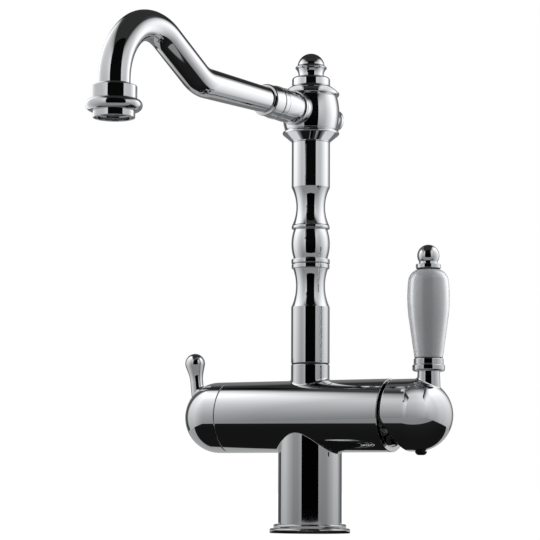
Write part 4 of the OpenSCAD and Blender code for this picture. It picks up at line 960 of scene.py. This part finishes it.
@dataclass
class Riser:
    """The turned column between the barrel's boss and the hub."""

    radius: float = 14.0
    core: float = 12.8
    foot: float = 121.85
    ring: float = 190.8
    joint_low: float = 198.2
    joint_high: float = 222.8
    top: float = 283.6
    belly: float = 33.0

    def neck(self, waist: float, height: float, hollow: float, low: float, high: float) -> Arc:
        """The hollow side of a neck, between the angles of two heights.

        Args:
            waist: its least diameter.
            height: the waist's height.
            hollow: the arc's radius.
            low, high: where the arc starts and ends.

        Returns:
            The arc.
        """
        start = 180 + math.degrees(math.asin((height - low) / hollow))
        end = 180 - math.degrees(math.asin((high - height) / hollow))
        return Arc(waist / 2 + hollow, height, hollow, start, end, 24)

    def build(self) -> None:
        """Turns the lower riser, the knop and the upper riser."""
        r, core, ring = self.radius, self.core, self.ring
        low, high = self.joint_low, self.joint_high
        lower = [(8.0, self.foot), (r, self.foot, 0.45), (r, 162.75)]
        lower += [self.neck(21.1, 178.4, 37.0, 162.85, ring), (core, ring + 0.1, 0.2)]
        lower += [*bead(r - 0.2, ring + 0.15, 3.25, 0.9), (core, ring + 3.4, 0.15)]
        lower += [(core, ring + 3.7, 0.15), *bead(r, ring + 3.75, 3.3, 0.9)]
        lower += [(core, low - 0.25), (core, low), (8.0, low)]
        turned("lower_riser", "spout", UPRIGHT, lower, closed=True)
        top = high - 2.9
        middle = (low + top) / 2
        half = math.degrees(math.asin((top - middle) / self.belly))
        knop = [(7.0, low), Arc(r - self.belly, middle, self.belly, -half, half, 24)]
        knop += [(core - 0.4, top + 0.05, 0.1), *bead(r - 0.1, top + 0.1, 2.8, 1.2), (7.0, high)]
        turned("riser_knop", "spout", UPRIGHT, knop, closed=True)
        upper = [(8.0, high), (13.5, high), self.neck(21.0, 236.2, 31.0, high + 0.05, 250.4)]
        upper += [(r, 250.6), (r, self.top - 0.2, 0.15), (8.0, self.top - 0.2)]
        turned("upper_riser", "spout", UPRIGHT, upper, closed=True)


@dataclass
class Hub:
    """The hub with its two rims, the finial on top and the cap behind."""

    foot: float = 283.6
    top: float = 325.6
    rim: float = 20.8
    rim_edge: float = 1.3
    low_rim: float = 290.6
    high_rim: float = 319.6
    waist: float = 18.6
    cap_drop: float = 1.5

    def build(self) -> None:
        """Turns the hub, its boss, the finial and the rear cap."""
        e, waist, low, high = self.rim_edge, self.waist, self.low_rim, self.high_rim
        body = [(0.0, self.foot), (14.0, self.foot, 0.1), (14.1, self.foot + 0.7, 0.3)]
        body += [Arc(self.rim - e, low, e, -48, 92, 14), (waist, low + 2.1, 0.5)]
        body += [(19.05, low + 2.6, 0.2), Arc(20.85 - 46.0, 305.8, 46.0, -15.4, 14.0, 28)]
        body += [(waist + 0.1, high - 2.25, 0.5), Arc(self.rim - e, high, e, -80, 0, 8)]
        body += [(self.rim, high + 0.75, 0.35), Arc(0.0, 301.24, 28.2, 42.9, 59.6, 10)]
        skin = Skin(UPRIGHT)
        skin.turn([*body, (0.0, self.top)])
        boss = [(0.0, 0.0), (12.2, 0.0), (12.2, 21.95, 0.2), (0.0, 21.95)]
        skin.turn(boss, placement=ALONG_SPOUT)
        skin.build("spout_hub", "spout")
        self.finial()
        self.rear_cap()

    def finial(self) -> None:
        """A rounded disc, a waisted cup with a sharp lip, and a dome on top."""
        z = self.top
        cup = arc_through((9.25, z + 8.1), (9.75, z + 10.9), (11.5, z + 13.4), 10)
        parts = [(0.0, z), (14.0, z, 0.5), (14.0, z + 6.6, 2.2), (9.8, z + 6.75, 0.3)]
        parts += [(9.25, z + 7.6, 0.3), cup, (11.65, z + 13.75, 0.25), (11.4, z + 14.4, 0.35)]
        parts += [(9.75, z + 15.6, 0.3), Arc(0.0, z + 14.6, 10.0, 9.0, 90.0, 20)]
        turned("finial", "spout", UPRIGHT, parts)

    def rear_cap(self) -> None:
        """A flange, a neck, a ring and a low dome, turned about the spout's axis."""
        back, side = shade(AHEAD, -1.0), shade(ACROSS, -1.0)
        origin = (back[0] * self.rim, back[1] * self.rim, SPOUT_AXIS - self.cap_drop)
        parts = [(0.0, 0.0), (10.0, 0.0, 0.2), (10.0, 1.6, 0.5), (7.2, 1.7, 0.8), (7.2, 8.5, 0.5)]
        dome = arc_through((7.2, 11.85), (5.1, 15.0), (1.5, 17.6), 10)
        parts += [*bead(8.4, 8.6, 3.2, 1.2), dome, (0.0, 18.0)]
        turned("hub_rear_cap", "spout", Placement(origin, UP, side, back), parts)


@dataclass
class SpoutPath:
    """The spout's centre line: level, up a bend, straight, over the crown and down.

    Each bend turns its heading evenly: going a distance d along a bend of radius R turns d / R.
    """

    start: float = 61.0
    rise_start: float = 130.9
    rise_radius: float = 26.5
    rise: float = 30.8
    run: float = 37.7
    crown_radius: float = 33.5
    crown: float = 73.1
    front_radius: float = 43.8
    front_gap: float = 0.8
    drop: float = 11.41
    spacing: float = 1.2

    def legs(self) -> list[Point]:
        """Length and turn, in radians, of each leg.

        Returns:
            A pair for each leg.
        """
        front = 90.0 + self.rise - self.crown
        turns = [(self.rise_radius, self.rise), (self.crown_radius, -self.crown)]
        turns += [(self.front_radius, -front)]
        up, over, down = ((r * math.radians(abs(a)), math.radians(a)) for r, a in turns)
        level, run = (self.rise_start - self.start, 0.0), (self.run, 0.0)
        return [level, up, run, over, (self.front_gap, 0.0), down, (self.drop, 0.0)]

    def sample(self) -> tuple[Array, Array, Array]:
        """Points, headings and distances along the line.

        Returns:
            (n, 2) forward distances and heights, (n,) headings and (n,) distances.
        """
        place, heading, gone = np.array([self.start, 0.0]), 0.0, 0.0
        points, headings, distances = [place[None]], [np.array([0.0])], [np.array([0.0])]
        for length, turn in self.legs():
            count = max(2, math.ceil(length / self.spacing))
            d = np.linspace(0, length, count + 1)[1:]
            now = heading + d * turn / length
            if turn:
                sides = [np.sin(now) - math.sin(heading), math.cos(heading) - np.cos(now)]
                step = length / turn * np.stack(sides, 1)
            else:
                step = d[:, None] * np.array([math.cos(heading), math.sin(heading)])
            points.append(place + step)
            headings.append(now)
            distances.append(gone + d)
            place, heading, gone = points[-1][-1], float(now[-1]), gone + length
        return np.concatenate(points), np.concatenate(headings), np.concatenate(distances)


@dataclass
class Spout:
    """The bent tube with its socket at the hub, its collar and its outlet."""

    path: SpoutPath = field(default_factory=SpoutPath)
    tube: float = 10.35
    tube_start: float = 9.2
    bore: float = 7.8
    reach: float = 231.465
    mouth: float = 281.0
    steps: int = 112

    def radii(self, distance: Array) -> tuple[Array, Array]:
        """The tube's radius and slope: it grows evenly along the level run and then stays.

        Args:
            distance: (n,) distances along the line.

        Returns:
            (n,) radii and (n,) slopes.
        """
        level = self.path.rise_start - self.path.start
        grow = (self.tube - self.tube_start) / level
        r = self.tube_start + grow * np.minimum(distance, level)
        return r, np.where(distance < level - 1e-6, grow, 0.0)

    def wall(self, skin: Skin, outside: bool) -> None:
        """One wall of the tube, carried along the path.

        A point at angle a is the centre line's point plus r (cos a N + sin a B), with N the
        heading's left side in the spout's plane and B the plane's normal.

        Args:
            skin: the skin that takes it.
            outside: the outer wall, or else the bore.
        """
        line, heading, distance = self.path.sample()
        r, slope = self.radii(distance)
        if not outside:
            r, slope = np.full_like(r, self.bore), np.zeros_like(slope)
        a = (np.arange(self.steps) * 2 * math.pi / self.steps)[:, None]
        nil = np.zeros_like(heading)
        along = np.stack([np.cos(heading), np.sin(heading), nil], 1)
        left = np.stack([-np.sin(heading), np.cos(heading), nil], 1)
        round_dir = np.cos(a) * left[:, None] + np.sin(a) * np.array(UP)
        points = np.column_stack([line, nil])[:, None] + r[:, None, None] * round_dir
        normals = unit(round_dir - slope[:, None, None] * along[:, None])
        if outside:
            skin.add_tube(points[:, ::-1], normals[:, ::-1])
        else:
            skin.add_tube(points, -normals)

    def build(self) -> None:
        """Makes the tube, the socket, the collar, and the outlet's collar and lip."""
        skin = Skin(SPOUT_PLANE)
        outlet = Placement((AHEAD[0] * self.reach, AHEAD[1] * self.reach, 0.0))
        self.wall(skin, True)
        self.wall(skin, False)
        root = [(self.bore, 30.0), (9.0, 30.0, 0.3), (9.0, 61.0), (self.tube_start, 61.0)]
        skin.turn(root, placement=ALONG_SPOUT)
        skin.turn([(self.bore, self.mouth), (self.tube, self.mouth)], placement=outlet)
        skin.build("spout_tube", "spout")
        socket = [(9.0, 22.0), *bead(12.6, 22.0, 2.6, 1.1), (11.55, 24.65, 0.15)]
        socket += [arc_through((11.6, 24.9), (12.0, 34.3), (11.6, 43.8), 16)]
        socket += [(11.3, 43.95), (9.0, 43.95)]
        turned("spout_socket", "spout", ALONG_SPOUT, socket, closed=True)
        collar = [(9.0, 44.0), (11.3, 44.0), (11.55, 44.1, 0.1), (11.5, 46.5, 0.1)]
        collar += [*bead(12.0, 46.6, 2.9, 1.35), (11.4, 49.6, 0.2), (11.4, 49.9, 0.2)]
        collar += [(11.7, 50.2, 0.3), (11.3, 57.6, 0.3), *bead(11.45, 57.9, 2.3, 1.1)]
        collar += [(9.3, 60.6, 0.4), (9.0, 61.0)]
        turned("spout_collar", "spout", ALONG_SPOUT, collar, closed=True)
        collar = [(12.0, 271.3), (14.2, 271.3, 0.1), Arc(14.4, 275.25, 3.9, -88, 88, 30)]
        collar += [(14.75, 279.25, 0.15), (14.75, 288.0, 0.9), (11.6, 288.0, 0.5)]
        collar += [(self.tube, 289.4), (self.tube, self.mouth), (12.0, 279.2)]
        turned("outlet_collar", "spout", outlet, collar, closed=True)
        lip = [(9.2, 270.8), (9.2, 269.6), (12.3, 269.4), (12.4, 267.0, 0.4), (13.6, 267.0, 0.5)]
        lip += [(13.6, 271.28), (11.0, 271.28)]
        turned("aerator_housing", "spout", outlet, lip, closed=True)


@dataclass
class MixerHandle:
    """The dome over the cartridge, cut away below, with the porcelain lever on it."""

    radius: float = 25.6
    inner: float = 22.6
    rim: float = 68.1
    centre: float = 84.9
    cut_drop: float = 2.0
    cut_angle: float = 24.8
    cut_soft: float = 1.4
    rim_round: float = 0.7
    plug: float = 88.1

    def rim_at(self, down: Array) -> Array:
        """Where the rim lies for a depth below the axis: level first, then slanting away.

        The corner between the two runs is rounded over about 2 mm, as the real one is.

        Args:
            down: depths below the axis.

        Returns:
            Distances along the axis.
        """
        over = down - self.cut_drop
        slope = math.tan(math.radians(self.cut_angle))
        return self.rim + slope * 0.5 * (over + np.sqrt(over**2 + self.cut_soft**2))

    def shell(self, skin: Skin) -> None:
        """The outer and inner dome and the rounded rim between them.

        At angle a round the barrel's axis a wall starts at the rim's distance for that angle,
        runs straight to the ball's centre and then over the quarter circle to the pole.

        Args:
            skin: the skin that takes the two walls.
        """
        a = np.arange(FINE_STEPS) * 2 * math.pi / FINE_STEPS
        down, f, r, pole = np.cos(a), self.rim_round, self.radius, math.pi / 2
        edge = self.rim_at(r * down)
        level = edge + f
        q, t = np.linspace(0, pole, 6), np.linspace(0, pole, 41)[1:-1]
        rows = [(r - f + f * math.sin(p), edge + f * (1 - math.cos(p)), p - pole) for p in q]
        rows += [(r, level + (self.centre - level) * s, 0.0) for s in np.linspace(0, 1, 7)[1:]]
        rows += [(r * math.cos(p), self.centre + r * math.sin(p), p) for p in t]
        self.wall(skin, a, [*rows, (0.02, self.centre + r, pole)], True)
        r, chamfer = self.inner, self.inner + 0.2
        rows = [(self.radius - f, edge, -pole), (chamfer, self.rim_at(chamfer * down), -pole)]
        rows += [(r, self.rim_at(r * down) + 0.2, math.pi)]
        t = np.linspace(0, pole, 17)[:-1]
        rows += [(r * math.cos(p), self.centre + r * math.sin(p), p + math.pi) for p in t]
        self.wall(skin, a, rows, False)

    def wall(
        self, skin: Skin, a: Array, rows: Sequence[tuple[float, object, float]], flip: bool
    ) -> None:
        """Adds one wall of the dome.

        Args:
            skin: the skin that takes it.
            a: the angles round the barrel's axis.
            rows: each row's radius, distances along the axis and the lean of its normal.
            flip: whether the wall's outer side is the one to see.
        """
        out = np.stack([np.cos(a), np.sin(a), np.zeros_like(a)], 1)
        r, lean = (np.array([row[i] for row in rows])[:, None, None] for i in (0, 2))
        z = np.array([np.broadcast_to(row[1], a.shape) for row in rows])[..., None]
        points = r * out + z * np.array(UP)
        normals = np.cos(lean) * out + np.sin(lean) * np.array(UP)
        order = slice(None, None, -1 if flip else 1)
        skin.add_tube(points[:, order], normals[:, order])

    def build(self) -> None:
        """Makes the dome with its inner hub, the fillet under the lever, and the plug below."""
        skin = Skin(MIXER_SIDE)
        self.shell(skin)
        skin.turn([(6.3, 72.0), (9.5, 72.0, 0.5), (9.5, 107.0), (0.0, 107.0)])
        lever = PorcelainLever()
        fillet = StemFillet(self.radius, lever.distance - self.centre, 8.09, 0.035, 2.0)
        fillet.add_to(skin, Placement((self.centre, 0.0, BARREL_AXIS)))
        skin.build("handle_dome", "mixer_handle")
        lever.build()
        plug = [(0.0, -2.75), arc_through((1.0, -2.7), (3.4, -2.0), (4.2, -0.6), 8)]
        plug += [(4.2, 0.0, 0.2), (3.3, 0.0), (3.3, 3.6, 0.3), (0.0, 3.6)]
        place = Placement((self.plug, 0.0, BARREL_AXIS - self.radius + 0.2))
        turned("grub_screw_plug", "mixer_handle", place, plug, slot="rubber")


@dataclass
class PorcelainLever:
    """The stem, the bead, the porcelain grip and the ball."""

    distance: float = 94.2
    stem_top: float = 30.4
    grip_bottom: float = 40.0
    grip_length: float = 62.7
    grip_foot: float = 10.0
    belly: float = 14.93
    belly_drop: float = 20.3
    curve: float = 110.0
    shoulder: float = 9.0

    def build(self) -> None:
        """Turns the lever's pieces, from the stem up."""
        stem = [(0.0, 19.0), (8.25, 19.0), (7.85, self.stem_top), (0.0, self.stem_top)]
        ring = [(3.0, 0.0), (8.3, 0.0, 0.2), *bead(11.5, 0.0, 4.6, 2.25), (10.2, 4.65, 0.25)]
        ring += [(10.5, 5.2, 0.4), (10.5, 9.15, 0.6), (3.0, 9.2)]
        ball = [(3.0, 0.0), *bead(8.8, 0.0, 3.0, 0.35), (6.8, 3.05, 0.3), (6.6, 4.0, 0.5)]
        ball += [Arc(0.0, 9.1, 7.85, -33.0, 90.0, 30), (0.0, 9.1), (3.0, 9.1)]
        finial = self.grip_bottom + self.grip_length + 0.4
        for node, height, parts, closed, slot in (
            ("lever_stem", 0.0, stem, False, "chrome"),
            ("lever_bead", self.stem_top, ring, True, "chrome"),
            ("porcelain_grip", self.grip_bottom, self.grip(), True, "porcelain"),
            ("lever_finial", finial, ball, True, "chrome"),
        ):
            place = Placement((self.distance, 0.0, BARREL_AXIS + height))
            turned(node, "mixer_handle", place, parts, closed, slot)

    def grip(self) -> list[Part]:
        """The porcelain's outline: foot, straight flank, long belly curve and round shoulder.

        The flank touches the belly's circle, seen from the foot at the angle of its centre less
        acos(radius / distance). The shoulder's circle touches the belly's from within.

        Returns:
            The outline, foot first.
        """
        belly = self.grip_length - self.belly_drop
        into = self.grip_foot + self.curve - self.belly
        slope = math.atan2(belly, into) - math.acos(self.curve / math.hypot(into, belly))
        centre_z = self.grip_length - self.shoulder
        lean = math.asin((centre_z - belly) / (self.curve - self.shoulder))
        centre_r = self.belly - self.curve + (self.curve - self.shoulder) * math.cos(lean)
        low, top = -math.degrees(slope), math.degrees(lean)
        return [
            (3.6, 0.0),
            (self.grip_foot, 0.0, 0.5),
            Arc(self.belly - self.curve, belly, self.curve, low, top, 26),
            Arc(centre_r, centre_z, self.shoulder, top + 2.0, 90.0, 22),
            (3.6, self.grip_length),
        ]


@dataclass
class ShutoffHandle:
    """The dome on the barrel's other end with its small peg."""

    radius: float = 26.0
    inner: float = 23.0
    rim: float = 66.05
    centre: float = 75.3
    lean: float = 6.4
    peg_distance: float = 92.94
    peg: float = 4.75
    bulb: float = 7.4

    def build(self) -> None:
        """Turns the dome, adds the fillet under the peg, and turns the leaning peg."""
        skin = Skin(SHUTOFF_SIDE)
        z, low = self.centre, self.centre - 0.01
        outer = [(self.inner, self.rim), (self.radius, self.rim, 0.45), (self.radius, low)]
        skin.turn([*outer, Arc(0.0, z, self.radius, 0.0, 90.0, 40)], steps=FINE_STEPS)
        inside = [Arc(0.0, z, self.inner, 90.0, 0.0, 16), (self.inner, low), (self.inner, self.rim)]
        skin.turn(inside, steps=FINE_STEPS)
        skin.turn([(4.7, 71.0), (8.5, 71.0, 0.4), (8.5, 99.0), (0.0, 99.0)])
        s, c = math.sin(math.radians(self.lean)), math.cos(math.radians(self.lean))
        axes = ((c, 0, s), (0, 1, 0), (-s, 0, c))
        ball = Placement((-self.centre, 0.0, BARREL_AXIS), *axes)
        offset = (self.centre - self.peg_distance) * c
        StemFillet(self.radius, offset, self.peg, 0.0, 2.4).add_to(skin, ball)
        skin.build("shutoff_dome", "shutoff_handle")
        peg = [(0.0, 9.0), (self.peg, 9.0), (self.peg, 30.6, 22.0)]
        peg += [Arc(0.0, 40.9, self.bulb, -16.0, 90.0, 26)]
        place = Placement((-self.peg_distance, 0.0, BARREL_AXIS), *axes)
        turned("shutoff_lever", "shutoff_handle", place, peg)


# Studio


@dataclass
class Camera:
    """The photograph's view point and framing."""

    azimuth: float = 28.0
    distance: float = 1492.4
    height: float = 32.0
    pitch: float = 6.044
    pan: float = 1.134
    roll: float = 0.28
    focal: float = 2059.5
    frame_side: float = 540.0
    sensor: float = 36.0

    def build(self) -> None:
        """Puts the camera where the photograph was taken from."""
        angles = (self.azimuth, self.pan, self.pitch, self.roll)
        a, p, e, w = (math.radians(angle) for angle in angles)
        level = Matrix.Rotation(p, 3, "Z") @ Vector((-math.sin(a), math.cos(a), 0.0))
        right = Vector((level.y, -level.x, 0.0))
        ahead = level * math.cos(e) + Vector(UP) * math.sin(e)
        up = right.cross(ahead)
        tilted = right * math.cos(w) + up * math.sin(w)
        up = up * math.cos(w) - right * math.sin(w)
        data = bpy.data.cameras.new("studio_camera")
        data.sensor_width = self.sensor
        data.lens = self.sensor * self.focal / self.frame_side
        data.clip_start, data.clip_end = 0.01, 30.0
        camera = bpy.data.objects.new("studio_camera", data)
        turn = Matrix((tilted, up, -ahead)).transposed().to_4x4()
        far = self.distance
        place = Vector((far * math.sin(a), -far * math.cos(a), self.height)) * MM
        camera.matrix_world = Matrix.Translation(place) @ turn
        bpy.context.scene.collection.objects.link(camera)
        bpy.context.scene.camera = camera


@dataclass(frozen=True)
class Glow:
    """Where a light panel's point lies, in metres: to the right, to the front and up."""

    nodes: NodeGarden
    side: Value
    front: Value
    up: Value


@dataclass
class Studio:
    """Pale floor, white surroundings and the light box that the chrome reflects.

    The box is squared up with the camera and the camera doesn't see it. Two tall soft boxes stand
    at its sides, its floor is pale with a black card in the middle, and the rest is dark. Panels
    that light one piece only stand a few millimetres behind or in front of those.
    """

    azimuth: float = 28.0
    half_width: float = 0.300
    front_end: float = 0.520
    back_end: float = -0.420
    roof: float = 0.840
    foot: float = -0.001
    level: float = 1.333
    # A wall's light grows from the floor to head height and is gone under the roof.
    wall_height: tuple[Point, ...] = (
        (0.0, 0.50), (0.10, 0.70), (0.22, 1.0), (0.40, 1.40), (0.48, 1.40), (0.60, 0.85),
        (0.71, 0.06),
    )

    def place(
        self, side: Array | float, front: Array, up: Array | float
    ) -> Array:
        """Points from distances to the camera's right, towards it and up.

        Args:
            side: to the camera's right.
            front: towards it.
            up: height.

        Returns:
            (..., 3) points in the tap's frame, in metres.
        """
        side, front, up = np.broadcast_arrays(side, front, up)
        c, s = math.cos(math.radians(self.azimuth)), math.sin(math.radians(self.azimuth))
        return np.stack([side * c + front * s, side * s - front * c, up], -1)

    def stage_mesh(self, name: str, points: Array, closed: bool = False) -> bpy.types.Object:
        """A grid of metres as a stage object.

        Args:
            name: the object's name.
            points: the grid.
            closed: whether its last column joins the first.

        Returns:
            The object.
        """
        quads = grid_quads(*points.shape[:2], closed)[:, ::-1]
        mesh = bpy.data.meshes.new(name)
        mesh.from_pydata(points.reshape(-1, 3).tolist(), [], quads.tolist())
        mesh.update()
        thing = bpy.data.objects.new(name, mesh)
        bpy.context.scene.collection.objects.link(thing)
        return thing

    def glow(self, name: str) -> Glow:
        """A new material's nodes with the place of a point in the box.

        Args:
            name: the material's name.

        Returns:
            The nodes and the three distances.
        """
        nodes = new_material(name)[1]
        spot = nodes.place()
        x, y, z = (nodes.make("ShaderNodeSeparateXYZ", {0: spot}, i) for i in range(3))
        c, s = math.cos(math.radians(self.azimuth)), math.sin(math.radians(self.azimuth))
        return Glow(nodes, x * c + y * s, x * s - y * c, z)

    def lit(
        self,
        name: str,
        points: Array,
        glow: Glow,
        strength: Value | float,
        clear: bool = False,
        only: str | None = None,
    ) -> None:
        """A shining panel of the box that the camera doesn't see.

        Args:
            name: the panel's and its material's name.
            points: its grid.
            glow: the material's nodes.
            strength: how strongly it shines.
            clear: whether what stands behind it shines through.
            only: the one piece that its light falls on, or none for all pieces.
        """
        make = glow.nodes.make
        inputs = {"Color": (0.985, 0.99, 1.0, 1.0), "Strength": strength * self.level}
        light = make("ShaderNodeEmission", inputs)
        if clear:
            light = make("ShaderNodeAddShader", {0: light, 1: make("ShaderNodeBsdfTransparent")})
        make("ShaderNodeOutputMaterial", {"Surface": light})
        panel = self.stage_mesh(name, points)
        panel.data.materials.append(bpy.data.materials[name])
        panel.visible_camera = False
        panel.visible_shadow = False
        if only:
            receivers = bpy.data.collections.new(name)
            receivers.objects.link(bpy.data.objects[only])
            panel.light_linking.receiver_collection = receivers

    def panel(
        self,
        name: str,
        points: Array,
        level: float = 1.0,
        clear: bool = True,
        only: str | None = None,
        **stops: Sequence[Point],
    ) -> None:
        """A shining panel whose strength is a product of profiles along side, front or up.

        Args:
            name, points, clear, only: as in lit.
            level: what multiplies the profiles.
            stops: the profile along each of those ways.
        """
        glow = self.glow(name)
        strength: Value | float = level
        for way, line in stops.items():
            strength = getattr(glow, way).profile(*line) * strength
        self.lit(name, points, glow, strength, clear, only)

    def floor(self) -> None:
        """A pale round floor that shines nearly as white as the white surroundings."""
        a = np.linspace(0, math.tau, 97)[:-1]
        radii = np.array([0.001, 0.5, 3.0, 12.0])[:, None]
        points = np.stack([radii * np.cos(a), radii * np.sin(a), np.full((4, 96), -0.0002)], -1)
        floor = self.stage_mesh("floor", points, True)
        made, nodes = new_material("pale_floor")
        grain = nodes.noise(nodes.place(), Grain(40.0))
        base = nodes.mix(grain, (0.13, 0.13, 0.13), (0.11, 0.11, 0.115))
        shine = {"Emission Color": (1, 1, 1, 1), "Emission Strength": 0.95}
        nodes.surface({"Roughness": 0.8, **shine, "Base Color": base})
        floor.data.materials.append(made)
        floor.visible_glossy = False
        floor.visible_diffuse = False

    def wall(self, hand: int, out: float = 0.0) -> Array:
        """A side wall's grid, standing outside the box's own wall by a distance.

        Args:
            hand: 1 for the right wall, -1 for the left.
            out: that distance.

        Returns:
            Its points.
        """
        front = np.linspace(self.back_end, self.front_end + out, 17)[:, None]
        up = np.linspace(self.foot, self.roof + out, 15)
        return self.place(hand * (self.half_width + out), front, up)

    def hood(self, corners: Sequence[Point], out: float = 0.0) -> Array:
        """A strip across the box through corners of (front, up).

        Args:
            corners: the strip's turns.
            out: how far it reaches past the box's sides.

        Returns:
            Its points.
        """
        turn = np.array(corners)
        side = np.array([-1.0, 1.0]) * (self.half_width + out)
        return self.place(side, turn[:, :1], turn[:, 1:])

    def front_and_roof(self, out: float = 0.0) -> Array:
        """The front and the roof as one strip."""
        front, roof = self.front_end + out, self.roof + out
        return self.hood([(front, self.foot), (front, roof), (self.back_end, roof)], out)

    def soft_boxes(self) -> None:
        """The side walls: brightest beside the tap, dimmer to their front ends, dark behind."""
        near = ((-0.03, 1.0), (0.05, 0.77), (0.175, 0.50), (0.30, 0.48))
        left = ((-0.25, 0.08), (-0.18, 0.95), *near, (0.44, 0.60))
        behind = ((-0.34, 0.12), (-0.28, 0.45), (-0.20, 0.62), (-0.14, 1.0))
        right = (*behind, *near, (0.44, 0.50))
        for name, hand, front in (("left_soft_box", -1, left), ("right_soft_box", 1, right)):
            self.panel(name, self.wall(hand), up=self.wall_height, front=front)

    def card_floor(self) -> None:
        """The floor that the chrome sees: pale, with a slanted black card under the tap."""
        front = np.linspace(self.back_end - 0.01, self.front_end + 0.01, 17)[:, None]
        side = np.linspace(-self.half_width - 0.01, self.half_width + 0.01, 15)
        glow = self.glow("card_floor")
        edge = glow.front - glow.side * 0.22
        back = glow.front.profile((-0.066, 0.0), (-0.060, 1.0))
        card = edge.profile((0.172, 1.0), (0.178, 0.0)) * back
        pale = glow.front.profile((-0.06, 0.40), (0.15, 0.27), (0.52, 0.32))
        black = glow.front.profile((0.05, 0.009), (0.17, 0.015))
        strength = (1 - card) * pale + card * black
        self.lit("card_floor", self.place(side, front, -0.0006), glow, strength)

    def dark_sides(self) -> None:
        """The unlit front and roof, and the dim back."""
        glow = self.glow("dark_cloth")
        weave = glow.nodes.noise(glow.nodes.place(), Grain(30.0)).ramp(0.3, 0.7, 0.8, 1.2)
        cloth = glow.up.profile((0.0, 0.0007), (0.15, 0.0012), (0.30, 0.0032))
        roof = glow.up.above(self.roof - 0.001) * 0.03
        self.lit("dark_cloth", self.front_and_roof(), glow, weave * cloth + roof, clear=True)
        back = self.hood([(self.back_end, self.foot), (self.back_end, self.roof + 0.01)], 0.01)
        self.panel("dim_back", back, clear=False, up=((0.45, 0.18), (0.62, 0.03)))

    def grip_wings(self) -> None:
        """Light from the sides that falls on the porcelain only."""
        band = ((-0.22, 0.0), (-0.16, 1.0), (0.0, 1.0), (0.06, 0.0))
        height = ((0.05, 0.5), (0.25, 1.0), (0.55, 0.4))
        for name, hand, level in (("left_wing", -1, 2.4), ("right_wing", 1, 1.4)):
            points = self.wall(hand, 0.002)
            self.panel(name, points, level, only="porcelain_grip_skin", front=band, up=height)

    def dome_shell(self) -> None:
        """White card round the box, whose light falls on the mixer handle's dome only."""
        dome = "handle_dome_skin"
        height = ((0.0, 0.44), (0.03, 0.46), (0.24, 0.735), (0.55, 1.05))
        across = ((-0.27, 0.64), (0.0, 0.71), (0.25, 0.87))
        fade = ((0.05, 0.1), (0.34, 1.0))
        ways = {"up": height, "side": across, "front": fade}
        self.panel("dome_card", self.front_and_roof(0.004), clear=False, only=dome, **ways)
        front = ((-0.05, 0.05), (0.10, 0.28), (0.30, 0.28), (0.52, 0.13))
        ways = {"up": self.wall_height, "front": front}
        for name, hand, level in (("left_dome_card", -1, 0.0), ("right_dome_card", 1, 1.0)):
            self.panel(name, self.wall(hand, 0.004), level, False, dome, **ways)

    def hub_cards(self) -> None:
        """Light from the box's back half, high up and on the floor, that falls on the hub only."""
        back, top, near, low = self.back_end + 0.002, self.roof - 0.002, 0.05, -0.0004
        height = ((0.0, 0.4), (0.02, 0.0), (0.50, 0.0), (0.57, 0.85))
        gap = ((-0.15, 1.0), (-0.11, 0.0), (0.11, 0.0), (0.15, 1.0))
        ways = {"up": height, "side": gap, "front": ((-0.08, 1.0), (0.02, 0.0))}
        for name, points in {
            "left_hub_card": self.wall(-1, 0.003),
            "right_hub_card": self.wall(1, 0.003),
            "top_hub_card": self.hood([(back, self.foot), (back, top), (near, top)]),
            "low_hub_card": self.hood([(back, low), (near, low)]),
        }.items():
            self.panel(name, points, only="spout_hub_skin", **ways)

    def surroundings(self) -> None:
        """Plain white behind everything."""
        world = bpy.data.worlds.new("white_surroundings")
        world.use_nodes = True
        nodes = NodeGarden(world.node_tree)
        light = nodes.make("ShaderNodeBackground", {"Color": (1, 1, 1, 1), "Strength": 1.0})
        nodes.make("ShaderNodeOutputWorld", {"Surface": light})
        bpy.context.scene.world = world

    def build(self) -> None:
        """Sets up the floor, the surroundings and the light box."""
        bpy.context.scene.view_settings.view_transform = "Standard"
        self.floor()
        self.surroundings()
        self.soft_boxes()
        self.card_floor()
        self.dark_sides()
        self.grip_wings()
        self.dome_shell()
        self.hub_cards()


def main() -> None:
    """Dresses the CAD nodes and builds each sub-assembly in order."""
    logging.basicConfig(level=logging.INFO, format="%(name)s: %(message)s")
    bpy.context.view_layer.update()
    dress_cad_nodes()
    for assembly in (Base(), Casting(), Riser(), Hub(), Spout(), MixerHandle(), ShutoffHandle()):
        assembly.build()
        log.info("%s is built", type(assembly).__name__)
    Camera().build()
    Studio().build()


if __name__ == "__main__":
    main()
